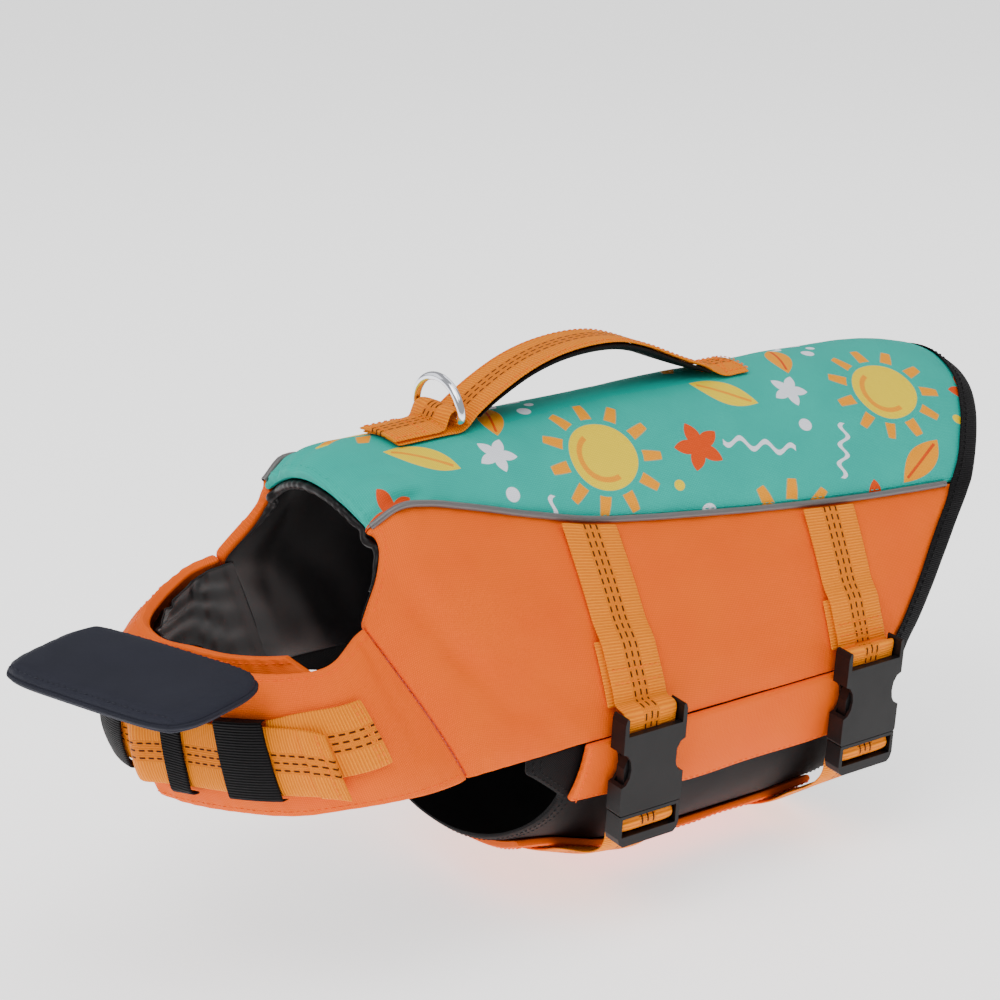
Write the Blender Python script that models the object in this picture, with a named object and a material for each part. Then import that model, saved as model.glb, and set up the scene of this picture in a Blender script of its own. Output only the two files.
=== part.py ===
"""Dog life jacket: its cut and sewn pieces, webbing, buckles and leash ring as solids.

The dog looks along -X, its back is up (+Z) and its left side is at -Y.  All sizes are
millimetres in the tailor's frame: x runs back from the neck edge of the back seam, y is
measured from the spine and z from the height where the straps enter the buckles.  WORN_AT
is the place in that frame that becomes the part's origin.
"""

import math
from typing import NamedTuple

import bmesh
import bpy
import numpy as np

# ----------------------------------------------------------------- driving dimensions, mm
UNIT = 0.001
WEBBING = 25.0            # width of every strap and of the handle
WEB_THICK = 1.5
SEAM_GAP = 0.3            # between neighbouring pieces
HIP_Y = 77.5              # half width of the jacket at the belly seam
HIP_Z = -7.0
BACK_THICK = 9.0          # padded panels, in the middle
SIDE_THICK = 9.0
WING_THICK = 6.5
EDGE_THICK = 4.2          # padded panels, pressed flat at a seam
EDGE_DROP = 1.8           # how far the outer face falls towards a seam
LINING = 1.0
LINING_GAP = 0.65
FLAP_THICK = 3.4
BELLY_THICK = 2.6
PIPING_R = 1.3
CASING_R = 1.9
BINDING_WIDTH = 11.0
BINDING_THICK = 1.2
BINDING_GAP = 0.8
FRONT_STRAP_X = 92.0
REAR_STRAP_X = 203.7
RING_X = 56.5
RING_WIRE = 3.4
BACK_FRONT_X = -4.0       # neck edge of the back panel, on the spine
BACK_REAR_X = 316.5
HEM_SEAM_X = 279.0        # where the rear hem crosses the piping
HEM_HIP_X = 229.0         # where it reaches the belly seam
DART_TOP_X = -13.5        # where the dart seam meets the neck edge
DART_LOW_X = 14.6
DART_TOP_B = 0.343        # the same place as a share of the side panel's depth
BELLY_FRONT_X = 63.5
BELLY_REAR_X = 218.0
LEFT, RIGHT = -1.0, 1.0   # the sign of y


# --------------------------------------------------------------------------- short tables
class Station(NamedTuple):
    """Cross-section of the jacket at one place along the spine."""

    x: float
    ridge_z: float
    seam_y: float
    seam_z: float
    full_high: float      # fullness of the side panel in its upper third
    full_low: float       # and in its lower third


STATIONS = (
    Station(-16.0, 92.0, 37.0, 78.5, 3.5, 1.0),
    Station(-4.0, 94.5, 37.6, 80.0, 3.5, 1.0),
    Station(0.0, 96.3, 38.0, 81.5, 3.5, 1.2),
    Station(10.0, 98.7, 40.0, 87.0, 3.0, 1.5),
    Station(24.0, 100.2, 40.0, 86.3, 2.5, 2.0),
    Station(37.0, 100.8, 40.4, 83.0, 2.0, 2.5),
    Station(65.0, 101.8, 42.0, 75.0, 1.5, 3.0),
    Station(94.0, 102.4, 43.8, 67.5, 1.5, 3.0),
    Station(119.0, 102.6, 46.2, 63.8, 1.5, 2.4),
    Station(144.0, 102.7, 49.0, 61.2, 1.5, 2.0),
    Station(182.0, 102.6, 53.0, 57.7, 1.0, 1.6),
    Station(218.0, 102.3, 56.8, 55.2, 1.0, 1.6),
    Station(250.0, 101.5, 60.0, 54.0, 1.2, 1.6),
    Station(281.0, 99.8, 62.5, 53.0, 1.5, 1.5),
    Station(300.0, 95.8, 63.0, 51.5, 1.5, 1.5),
    Station(320.0, 87.0, 63.0, 50.0, 1.5, 1.5),
)


class Belly(NamedTuple):
    """Depth of the belly below the belly seam at one place along the spine."""

    x: float
    depth: float


BELLIES = (
    Belly(45.0, 55.0),
    Belly(52.0, 59.0),
    Belly(63.0, 62.5),
    Belly(72.0, 64.3),
    Belly(81.0, 66.5),
    Belly(92.0, 70.5),
    Belly(104.0, 74.8),
    Belly(118.0, 77.3),
    Belly(150.0, 77.6),
    Belly(190.0, 77.6),
    Belly(225.0, 76.0),
)


class Rib(NamedTuple):
    """One line down a chest wing, from its neck edge to its lower edge."""

    top_x: float
    top_y: float
    top_z: float
    low_x: float
    low_y: float
    low_z: float
    full: float           # how far the wing stands out half way down


LEFT_RIBS = (
    Rib(-13.5, -55.9, 51.3, 14.6, -79.5, -7.0, 2.5),
    Rib(-24.0, -58.5, 46.0, -5.0, -80.2, -6.8, 3.0),
    Rib(-33.0, -57.0, 41.5, -21.0, -78.3, -7.0, 4.0),
    Rib(-41.0, -50.5, 39.5, -34.5, -72.0, -8.3, 4.0),
    Rib(-48.0, -42.0, 37.8, -44.0, -60.5, -12.0, 3.0),
    Rib(-53.5, -32.5, 36.5, -50.5, -48.0, -14.8, 2.5),
    Rib(-57.5, -21.0, 35.5, -55.5, -34.0, -17.2, 2.5),
    Rib(-60.5, -8.0, 35.0, -59.8, -20.0, -19.4, 3.0),
    Rib(-63.7, 4.0, 35.0, -63.0, -6.0, -21.4, 5.0),
    Rib(-67.5, 14.0, 35.0, -67.0, 6.5, -21.4, 8.0),
)
RIGHT_RIBS = (
    Rib(-13.5, 55.9, 51.3, 14.6, 79.5, -7.0, 2.5),
    Rib(-24.0, 60.0, 46.0, -5.0, 80.5, -7.0, 3.0),
    Rib(-34.0, 58.0, 42.0, -22.0, 78.0, -8.0, 5.0),
    Rib(-43.0, 52.0, 40.0, -37.0, 69.0, -11.0, 7.5),
    Rib(-51.5, 43.0, 39.0, -49.0, 57.0, -15.0, 10.0),
    Rib(-57.5, 31.5, 38.5, -58.5, 42.0, -18.0, 10.0),
    Rib(-58.5, 18.0, 37.0, -60.0, 26.0, -19.0, 8.0),
    Rib(-54.5, 3.0, 35.5, -55.0, 8.0, -18.0, 2.0),
    Rib(-49.5, -13.5, 36.0, -49.0, -12.0, -15.0, 1.5),
    Rib(-41.5, -29.5, 38.0, -40.0, -32.0, -11.0, 1.5),
    Rib(-30.5, -43.5, 40.5, -28.0, -46.5, -7.0, 1.5),
)


class Line(NamedTuple):
    """A grid line of a padded panel: share of the depth, and how far it is an edge (0 to 1)."""

    share: float
    edge: float


SIDE_LINES = (
    Line(0.0018, 1.0), Line(0.045, 0.45), Line(0.135, 0.0), Line(0.24, 0.0), Line(0.343, 0.0),
    Line(0.389, 0.0), Line(0.474, 0.0), Line(0.593, 0.0), Line(0.724, 0.0), Line(0.862, 0.0),
    Line(0.954, 0.45), Line(1.0, 1.0),
)
WING_LINES = (
    Line(0.0, 1.0), Line(0.07, 0.45), Line(0.2, 0.0), Line(0.38, 0.0), Line(0.58, 0.0),
    Line(0.79, 0.0), Line(0.93, 0.45), Line(1.0, 1.0),
)


class Rise(NamedTuple):
    """Height of the handle above the strap entry at one place along the spine."""

    x: float
    z: float


HANDLE_ARCH = (
    Rise(67.5, 106.0), Rise(73.0, 109.5), Rise(82.0, 114.3), Rise(93.0, 119.0),
    Rise(104.0, 122.0), Rise(115.0, 123.5), Rise(126.0, 123.8), Rise(137.0, 122.6),
    Rise(149.0, 118.8), Rise(161.0, 113.4), Rise(171.0, 109.0), Rise(178.0, 106.4),
)


class BeltPoint(NamedTuple):
    """A place on a chest wing: along its ribs and down its depth."""

    rib: float
    depth: float


PATCH = (
    BeltPoint(1.50, 0.48), BeltPoint(2.4, 0.485), BeltPoint(3.3, 0.50), BeltPoint(4.2, 0.53),
)
BELT_LEFT = (
    BeltPoint(2.70, 0.65), BeltPoint(3.2, 0.60), BeltPoint(4.2, 0.565), BeltPoint(5.2, 0.565),
    BeltPoint(6.2, 0.57), BeltPoint(7.2, 0.575), BeltPoint(8.2, 0.585), BeltPoint(8.95, 0.60),
)
BELT_RIGHT = (
    BeltPoint(6.05, 0.67), BeltPoint(5.5, 0.68), BeltPoint(4.7, 0.68), BeltPoint(3.8, 0.66),
    BeltPoint(2.9, 0.62), BeltPoint(2.1, 0.56),
)


# ------------------------------------------------------------------------- small geometry
def smooth(places, values, at):
    """Cubic curve through the values, read at the given places."""
    places = np.asarray(places, float)
    values = np.asarray(values, float)
    at = np.clip(np.asarray(at, float), places[0], places[-1])
    slopes = np.gradient(values, places)
    i = np.clip(np.searchsorted(places, at, side="right") - 1, 0, len(places) - 2)
    step = places[i + 1] - places[i]
    t = (at - places[i]) / step
    return (
        (2 * t**3 - 3 * t**2 + 1) * values[i]
        + (t**3 - 2 * t**2 + t) * step * slopes[i]
        + (-2 * t**3 + 3 * t**2) * values[i + 1]
        + (t**3 - t**2) * step * slopes[i + 1]
    )


def column(rows, name, at, key="x"):
    """One named column of a table, read as a smooth curve along its key column."""
    return smooth([getattr(row, key) for row in rows], [getattr(row, name) for row in rows], at)


def unit(vectors):
    """The vectors at length one."""
    vectors = np.asarray(vectors, float)
    return vectors / np.linalg.norm(vectors, axis=-1, keepdims=True)


def lerp(a, b, t):
    """Straight blend from a to b."""
    return np.asarray(a) * (1 - t) + np.asarray(b) * t


def outward_normals(grid, inside=(60.0, 0.0, 15.0)):
    """Unit normals of a grid of points, turned away from a place inside the jacket."""
    normals = unit(np.cross(np.gradient(grid, axis=0), np.gradient(grid, axis=1)))
    away = np.sum(normals * (grid - np.array(inside)))
    return normals if away > 0 else -normals


def resample(path, count):
    """The path as evenly spaced points."""
    run = np.concatenate([[0.0], np.cumsum(np.linalg.norm(np.diff(path, axis=0), axis=1))])
    at = np.linspace(0.0, run[-1], count)
    return np.stack([np.interp(at, run, path[:, k]) for k in range(3)], axis=1)


def smooth_path(points, count):
    """A smooth curve through hand-placed points, as evenly spaced points."""
    points = np.asarray(points, float)
    run = np.concatenate([[0.0], np.cumsum(np.linalg.norm(np.diff(points, axis=0), axis=1))])
    fine = np.linspace(0.0, run[-1], 20 * len(points))
    return resample(np.stack([smooth(run, points[:, k], fine) for k in range(3)], axis=1), count)


# --------------------------------------------------------------------- turning into solids
def material(name, colour, roughness, metallic=0.0):
    """A plain finish for one kind of stuff."""
    found = bpy.data.materials.get(name)
    if found:
        return found
    made = bpy.data.materials.new(name)
    made.use_nodes = True
    shader = made.node_tree.nodes["Principled BSDF"]
    shader.inputs["Base Color"].default_value = (*colour, 1.0)
    shader.inputs["Roughness"].default_value = roughness
    shader.inputs["Metallic"].default_value = metallic
    return made


def cloth_teal():
    return material("printed_cloth", (0.11, 0.50, 0.42), 0.75)


def cloth_orange():
    return material("orange_cloth", (1.0, 0.20, 0.03), 0.7)


def cloth_black():
    return material("black_cloth", (0.012, 0.010, 0.012), 0.65)


def lining_black():
    return material("lining", (0.010, 0.008, 0.010), 0.45)


def web_orange():
    return material("orange_webbing", (0.95, 0.32, 0.03), 0.7)


def web_black():
    return material("black_webbing", (0.010, 0.010, 0.010), 0.7)


def piping_grey():
    return material("reflective_piping", (0.16, 0.15, 0.15), 0.4)


def float_cloth():
    return material("float_cloth", (0.040, 0.043, 0.056), 0.8)


def buckle_plastic():
    return material("buckle_plastic", (0.027, 0.027, 0.029), 0.45)


def chrome():
    return material("chrome", (0.80, 0.80, 0.82), 0.12, 1.0)


def worn_at():
    """The inner face of the back panel at mid length, on the spine: the part's origin."""
    x = 0.5 * (BACK_FRONT_X + BACK_REAR_X)
    inner = BACK_THICK + LINING_GAP + LINING
    return np.array([x, 0.0, float(column(STATIONS, "ridge_z", x)) - inner])


def add_solid(name, points, faces, finish, sharp_deg=40.0):
    """Adds a closed mesh, given in the tailor's frame, as a named object."""
    placed = (np.asarray(points, float) - worn_at()) * UNIT
    mesh = bpy.data.meshes.new(name)
    mesh.from_pydata([tuple(p) for p in placed], [], [tuple(f) for f in faces])
    work = bmesh.new()
    work.from_mesh(mesh)
    bmesh.ops.recalc_face_normals(work, faces=work.faces[:])
    work.to_mesh(mesh)
    work.free()
    mesh.materials.append(finish)
    mesh.shade_smooth()
    mesh.set_sharp_from_angle(angle=math.radians(sharp_deg))
    solid = bpy.data.objects.new(name, mesh)
    bpy.context.scene.collection.objects.link(solid)
    return solid


def wall_solid(name, outer, inner, finish):
    """A wall between two grids of points that share their rows and columns."""
    rows, cols = outer.shape[:2]
    points = np.concatenate([outer.reshape(-1, 3), inner.reshape(-1, 3)])
    faces = []
    half = rows * cols
    for i in range(rows - 1):
        for j in range(cols - 1):
            a, b, c, d = i * cols + j, i * cols + j + 1, (i + 1) * cols + j + 1, (i + 1) * cols + j
            faces.append((a, b, c, d))
            faces.append((half + a, half + d, half + c, half + b))
    rim = [j for j in range(cols)]
    rim += [i * cols + cols - 1 for i in range(1, rows)]
    rim += [(rows - 1) * cols + j for j in range(cols - 2, -1, -1)]
    rim += [i * cols for i in range(rows - 2, 0, -1)]
    for a, b in zip(rim, rim[1:] + rim[:1]):
        faces.append((a, half + a, half + b, b))
    return add_solid(name, points, faces, finish)


def swept_solid(name, sections, finish, closed=False, sharp_deg=40.0):
    """A solid swept through a run of equal polygons; open runs get flat ends."""
    sections = np.asarray(sections, float)
    count, sides = sections.shape[:2]
    faces = []
    for i in range(count if closed else count - 1):
        k = (i + 1) % count
        for j in range(sides):
            m = (j + 1) % sides
            faces.append((i * sides + j, i * sides + m, k * sides + m, k * sides + j))
    if not closed:
        faces.append(tuple(range(sides)))
        faces.append(tuple((count - 1) * sides + j for j in range(sides)))
    return add_solid(name, sections.reshape(-1, 3), faces, finish, sharp_deg)


def tube_solid(name, path, radii, sides, finish, closed=False):
    """A round rod along a path; radii may change along it."""
    path = np.asarray(path, float)
    if closed:
        ahead = np.roll(path, -1, axis=0) - np.roll(path, 1, axis=0)
    else:
        ahead = np.gradient(path, axis=0)
    ahead = unit(ahead)
    radii = np.broadcast_to(np.asarray(radii, float), (len(path),))
    across = np.cross(ahead[0], (0.0, 0.0, 1.0))
    if np.linalg.norm(across) < 0.2:
        across = np.cross(ahead[0], (1.0, 0.0, 0.0))
    sections = []
    for point, direction, radius in zip(path, ahead, radii):
        across = unit(across - np.dot(across, direction) * direction)
        other = np.cross(direction, across)
        turn = [2 * math.pi * k / sides for k in range(sides)]
        sections.append([point + radius * (math.cos(t) * across + math.sin(t) * other) for t in turn])
    return swept_solid(name, sections, finish, closed, 60.0)


def ribbon_solid(name, left, right, normals, low, thick, finish):
    """Webbing between two edge lines, held low above them along the normals."""
    low = np.broadcast_to(np.asarray(low, float), (len(left),))[:, None]
    under_left, under_right = left + normals * low, right + normals * low
    thick = np.broadcast_to(np.asarray(thick, float), (len(left),))[:, None]
    over_left, over_right = under_left + normals * thick, under_right + normals * thick
    sections = np.stack([under_left, under_right, over_right, over_left], axis=1)
    return swept_solid(name, sections, finish)


# ------------------------------------------------------------------- surfaces of the jacket
def back_point(x, a):
    """Outer face of the back panel: a is -1 at the left piping, 0 on the spine, 1 at the right."""
    x, a = np.broadcast_arrays(np.asarray(x, float), np.asarray(a, float))
    ridge = column(STATIONS, "ridge_z", x)
    seam_z = column(STATIONS, "seam_z", x)
    y = column(STATIONS, "seam_y", x) * a
    return np.stack([x, y, ridge - (ridge - seam_z) * a * a], axis=-1)


def side_point(x, b, side):
    """Outer face of a side panel: b is 0 at the piping and 1 at the belly seam."""
    x, b = np.broadcast_arrays(np.asarray(x, float), np.asarray(b, float))
    seam_y, seam_z = column(STATIONS, "seam_y", x), column(STATIONS, "seam_z", x)
    down_y, down_z = HIP_Y - seam_y, HIP_Z - seam_z
    length = np.hypot(down_y, down_z)
    peak = 27.0 / 4.0
    full = peak * (
        column(STATIONS, "full_high", x) * b * (1 - b) ** 2
        + column(STATIONS, "full_low", x) * b * b * (1 - b)
    )
    y = seam_y + down_y * b - down_z / length * full
    z = seam_z + down_z * b + down_y / length * full
    return np.stack([x, side * y, z], axis=-1)


def belly_point(x, turn, inset):
    """Belly curve: turn is 0 at the left belly seam and 180 degrees at the right one."""
    x, turn = np.broadcast_arrays(np.asarray(x, float), np.asarray(turn, float))
    depth = column(BELLIES, "depth", x) - inset
    angle = np.radians(turn)
    return np.stack([x, -(HIP_Y - inset) * np.cos(angle), HIP_Z - depth * np.sin(angle)], axis=-1)


def dart_point(depth, side):
    """Seam between a side panel and its chest wing, by the share of its depth."""
    b = DART_TOP_B + (1 - DART_TOP_B) * np.asarray(depth, float)
    x = DART_TOP_X + (DART_LOW_X - DART_TOP_X) * np.asarray(depth, float)
    return side_point(x, b, side)


def wing_point(ribs, rib, depth):
    """Outer face of a chest wing at a rib number and a share of its depth."""
    rib, depth = np.broadcast_arrays(np.asarray(rib, float), np.asarray(depth, float))
    number = np.arange(len(ribs))

    def edge(prefix, at):
        names = [prefix + axis for axis in ("_x", "_y", "_z")]
        return np.stack([smooth(number, [getattr(r, n) for r in ribs], at) for n in names], axis=-1)

    small = 0.05
    ahead = edge("top", rib + small) + edge("low", rib + small)
    ahead = ahead - edge("top", rib - small) - edge("low", rib - small)
    side = math.copysign(1.0, ribs[0].top_y)
    out = unit(np.stack([side * ahead[..., 1], -side * ahead[..., 0], 0 * ahead[..., 0]], axis=-1))
    out = out * np.clip(rib / 1.4, 0.0, 1.0)[..., None]
    full = smooth(number, [r.full for r in ribs], rib) * 4 * depth * (1 - depth)
    share = depth[..., None]
    point = edge("top", rib) * (1 - share) + edge("low", rib) * share + out * full[..., None]
    at_dart = np.clip(1 - rib / 1.4, 0.0, 1.0) ** 2
    first = edge("top", 0 * rib) * (1 - share) + edge("low", 0 * rib) * share
    return point + (dart_point(depth, side) - first) * at_dart[..., None]


def back_front_x(a):
    """Neck edge of the back panel."""
    return BACK_FRONT_X * (1 - np.asarray(a) ** 2)


def back_rear_x(a):
    """Rear hem of the back panel."""
    return BACK_REAR_X - (BACK_REAR_X - HEM_SEAM_X) * np.abs(a) ** 2.2


def side_front_x(b):
    """Neck edge and dart seam of a side panel."""
    b = np.asarray(b, float)
    neck = smooth([0.0, 0.08, 0.16, 0.25, DART_TOP_B], [0.0, 0.8, -1.8, -7.5, DART_TOP_X], b)
    dart = DART_TOP_X + (DART_LOW_X - DART_TOP_X) * (b - DART_TOP_B) / (1 - DART_TOP_B)
    return np.where(b < DART_TOP_B, neck, dart)


def side_rear_x(b):
    """Rear hem of a side panel."""
    b = np.asarray(b, float)
    return lerp(HEM_SEAM_X, HEM_HIP_X, b)


def lengthways(front, rear, front_edge, rear_edge, inner):
    """Grid lines from the front edge to the rear one, with their edge factors.

    The first and last lines keep their distances from the edges in millimetres, and the
    inner ones share what is left.
    """
    starts = [distance for distance, _ in front_edge]
    ends = [distance for distance, _ in rear_edge][::-1]
    shares = [(k + 1) / (inner + 1) for k in range(inner)]
    first, last = front + starts[-1], rear - ends[0]
    lines = [front + s for s in starts] + [lerp(first, last, s) for s in shares]
    lines += [rear - e for e in ends]
    factors = [f for _, f in front_edge] + [0.0] * inner + [f for _, f in rear_edge][::-1]
    return np.stack(lines, axis=0), np.array(factors)


LENGTH_LINES = 14         # of a panel's grid, between its edges
NECK_EDGE = ((0.0, 1.0), (4.0, 0.45), (12.0, 0.0))
HEM_EDGE = ((0.0, 1.0), (12.0, 0.0))


class Panel(NamedTuple):
    """A padded panel as its outer and inner grids."""

    outer: np.ndarray
    inner: np.ndarray
    normals: np.ndarray


def padded(grid, normals, edge_along, edge_across, thick):
    """Pads a surface: full in the middle, pressed thin and lower towards its edges."""
    edge = np.maximum(edge_along[:, None], edge_across[None, :])[..., None]
    outer = grid - normals * EDGE_DROP * edge
    inner = outer - normals * (thick - (thick - EDGE_THICK) * edge)
    return Panel(outer, inner, normals)


def piping_normals(x, side):
    """Direction out of the seam under the piping, midway between back and side panel."""
    slope = 2 * (column(STATIONS, "ridge_z", x) - column(STATIONS, "seam_z", x))
    back = unit(np.stack([0 * x, side * slope, column(STATIONS, "seam_y", x)], axis=-1))
    down = side_point(x, 0.05, side) - side_point(x, 0.0, side)
    flank = unit(np.cross(down, (1.0, 0.0, 0.0)))
    flank = flank * np.sign(flank[..., 1:2]) * side
    return unit(back + flank)


def back_panel_grids():
    """Back panel, stations along the spine by places across it."""
    shares = np.array([0.0018, 0.035, 0.105, 0.22, 0.34, 0.45])
    across = np.concatenate([shares, [0.5], 1 - shares[::-1]])
    edges = np.array([1.0, 0.45, 0, 0, 0, 0, 0, 0, 0, 0, 0, 0.45, 1.0])
    a = np.sin((across - 0.5) * math.pi * 0.36) / math.sin(0.5 * math.pi * 0.36)
    x, along = lengthways(back_front_x(a), back_rear_x(a), NECK_EDGE, HEM_EDGE, LENGTH_LINES)
    grid = back_point(x, a[None, :])
    normals = outward_normals(grid)
    for col, side in ((0, LEFT), (-1, RIGHT)):
        normals[:, col] = piping_normals(x[:, col], side)
    return padded(grid, normals, along, edges, BACK_THICK)


def side_panel_grids(side):
    """Side panel, stations along the spine by places down it."""
    b = np.array([line.share for line in SIDE_LINES])
    edges = np.array([line.edge for line in SIDE_LINES])
    in_dart = (b >= DART_TOP_B - 0.001) * SEAM_GAP / 2
    x, along = lengthways(side_front_x(b) + in_dart, side_rear_x(b), NECK_EDGE, HEM_EDGE, LENGTH_LINES)
    grid = side_point(x, b[None, :], side)
    normals = outward_normals(grid)
    normals[:, 0] = piping_normals(x[:, 0], side)
    normals[:, -1] = (0.0, side, 0.0)
    normals[0, 4:-1] = dart_normals((b[4:-1] - DART_TOP_B) / (1 - DART_TOP_B), side)
    return padded(grid, normals, along, edges, SIDE_THICK)


def dart_normals(depth, side):
    """Direction out of the dart seam, by the share of its depth."""
    b = DART_TOP_B + (1 - DART_TOP_B) * np.asarray(depth, float)
    x = DART_TOP_X + (DART_LOW_X - DART_TOP_X) * np.asarray(depth, float)
    normals = strap_normals(x, b, side)
    normals[..., 0] -= 0.25
    return unit(normals)


def wing_grids(ribs, inner_lines, thick):
    """Chest wing, places along its ribs by places down it."""
    depth = np.array([line.share for line in WING_LINES])
    edges = np.array([line.edge for line in WING_LINES])
    last = len(ribs) - 1.0
    start, near, full = 0.012, 0.28, 0.85
    rib = np.concatenate([[start, near, full],
                          np.linspace(full, last - full, inner_lines + 2)[1:-1],
                          [last - full, last - near, last]])
    along = np.concatenate([[1, 0.45, 0], np.zeros(inner_lines), [0, 0.45, 1]])
    grid = wing_point(ribs, rib[:, None], depth[None, :])
    normals = outward_normals(grid)
    side = math.copysign(1.0, ribs[0].top_y)
    normals[0, :-1] = dart_normals(depth[:-1], side)
    normals[0, -1] = (0.0, side, 0.0)
    return padded(grid, normals, along, edges, thick)


# --------------------------------------------------------------------------- cloth pieces
def build_panels():
    """The padded shell of the jacket, with the lining inside it."""
    back = back_panel_grids()
    sides = {side: side_panel_grids(side) for side in (LEFT, RIGHT)}
    wings = {LEFT: wing_grids(LEFT_RIBS, 10, WING_THICK), RIGHT: wing_grids(RIGHT_RIBS, 16, WING_THICK)}
    names = {LEFT: "left", RIGHT: "right"}
    wall_solid("back_panel", back.outer, back.inner, cloth_teal())
    for side, name in names.items():
        panel, wing = sides[side], wings[side]
        wall_solid(f"side_panel_{name}", panel.outer, panel.inner, cloth_orange())
        wall_solid(f"chest_wing_{name}", wing.outer, wing.inner, cloth_orange())
    build_body_lining(back, sides)
    build_gathered_lining(wings[RIGHT])
    return back, sides


def build_body_lining(back, sides):
    """One lining from the left belly seam over the back to the right one.

    At the neck it stops short of the casing, and at the darts it runs out to the seam.
    """
    faces, normals = [], []
    for panel, neck in ((sides[LEFT], slice(0, 5)), (back, slice(None)), (sides[RIGHT], slice(0, 5))):
        face, normal = panel.inner[:-1].copy(), panel.normals[:-1].copy()
        face[0, neck] = lerp(panel.inner[0, neck], panel.inner[1, neck], 0.95)
        normal[0, neck] = unit(lerp(panel.normals[0, neck], panel.normals[1, neck], 0.95))
        faces.append(face)
        normals.append(normal)
    columns = [grid[0][:, :0:-1] for grid in (faces, normals)]
    face, normal = [
        np.concatenate([start, parts[1], parts[2][:, 1:]], axis=1)
        for start, parts in zip(columns, (faces, normals))
    ]
    low = LINING_GAP
    wall_solid("lining_body", face - normal * low, face - normal * (low + LINING), lining_black())


def build_gathered_lining(wing):
    """Lining of the right wing, gathered into soft folds by the elastic of the neck."""
    folds = 7
    depth = 1.8
    rows, per_row = slice(0, 11), 3
    face, normals = wing.inner[rows, :-1], wing.normals[rows, :-1]
    count = (face.shape[0] - 1) * per_row + 1
    old = np.arange(face.shape[0])
    at = np.linspace(0, face.shape[0] - 1, count)

    def finer(grid):
        lines = range(grid.shape[1])
        return np.stack([[np.interp(at, old, grid[:, j, k]) for k in range(3)] for j in lines])

    face, normals = finer(face).transpose(2, 0, 1), finer(normals).transpose(2, 0, 1)
    across = np.linspace(0, 1, face.shape[1])
    phase = at[:, None] / at[-1] * folds * 2 * math.pi
    wave = 0.5 - 0.5 * np.cos(phase + 1.1 * across[None, :])
    wave = wave * (1 - 0.75 * across[None, :]) * np.sin(np.linspace(0, math.pi, count))[:, None] ** 0.5
    low = (LINING_GAP + depth * wave)[..., None]
    inside = face - normals * (low + LINING)
    wall_solid("lining_wing_right", face - normals * low, inside, lining_black())


def build_neck_casing(back, sides):
    """Elastic casing just inside the neck edge, gathered into small puckers."""
    left, right = (casing_line(sides[side], (0, 2, 3, 4)) for side in (LEFT, RIGHT))
    left[-1], right[-1] = lerp(left[-2], left[-1], 0.6), lerp(right[-2], right[-1], 0.6)
    neck = [*right[::-1], *casing_line(back, range(len(back.inner[0]) - 3, 1, -1)), *left]
    puckers, per_pucker = 17, 4
    path = smooth_path(neck, puckers * per_pucker + 1)
    turn = 2 * math.pi * np.arange(len(path)) / per_pucker
    radii = CASING_R - 0.25 + 0.25 * np.cos(turn)
    tube_solid("neck_casing", path, radii, 5, cloth_black())


def casing_line(panel, cols):
    """Places of the casing behind the neck edge of one panel."""
    cols = list(cols)
    edge = lerp(panel.inner[0, cols], panel.inner[1, cols], -0.1)
    return edge - panel.normals[0, cols] * (CASING_R + 0.9)


def build_rear_binding(back, sides):
    """Folded tape round the rear hem, from one belly seam over the back to the other."""
    def hem(panel, step):
        order = slice(None, None, step)
        lines = (panel.outer[-1], panel.outer[-2], panel.inner[-1], panel.inner[-2])
        return [line[order] for line in lines]

    pieces = [hem(sides[LEFT], -1), hem(back, 1), hem(sides[RIGHT], 1)]
    edge_out, deep_out, edge_in, deep_in = [np.concatenate(part) for part in zip(*pieces)]
    share = BINDING_WIDTH / 12.0
    deep_out, deep_in = lerp(edge_out, deep_out, share), lerp(edge_in, deep_in, share)
    out = unit(edge_out - edge_in)
    beyond = unit(edge_out - deep_out)
    gap, full = BINDING_GAP, BINDING_GAP + BINDING_THICK
    sections = np.stack([
        deep_out + out * full, edge_out + out * full + beyond * full,
        edge_in - out * full + beyond * full, deep_in - out * full,
        deep_in - out * gap, edge_in - out * gap + beyond * gap,
        edge_out + out * gap + beyond * gap, deep_out + out * gap,
    ], axis=1)
    keep = [0] + [i for i in range(1, len(sections))
                  if np.linalg.norm(edge_out[i] - edge_out[i - 1]) > 1.0]
    swept_solid("rear_binding", sections[keep], web_black())


def build_piping():
    """Reflective piping in the seams between the back and the sides."""
    for side, name in ((LEFT, "left"), (RIGHT, "right")):
        x = np.linspace(1.0, HEM_SEAM_X - 13.5, 27)
        seam = back_point(x, side)
        out = unit(np.stack([0 * x, side * np.ones_like(x), 0.75 * np.ones_like(x)], axis=1))
        tube_solid(f"piping_{name}", seam + out * 0.1, PIPING_R, 6, piping_grey())


BELLY_LINES = (63.5, 71.0, 79.2, 92.0, 104.8, 122.0, 144.0, 168.0, 190.9, 203.7, 216.5)
BELLY_STEP = 7.5          # degrees between the lines round the belly
CORNER_REACH = 20.0       # of the black panel, forward along the belly seams


def belly_front(turn):
    """Front edge of the black panel, which reaches forward in the middle and at its corners."""
    corner = np.clip((np.abs(90.0 - turn) - 68.0) / 14.0, 0.0, 1.0)
    return 63.0 - 11.0 * np.sin(np.radians(turn)) ** 2 - CORNER_REACH * corner


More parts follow.
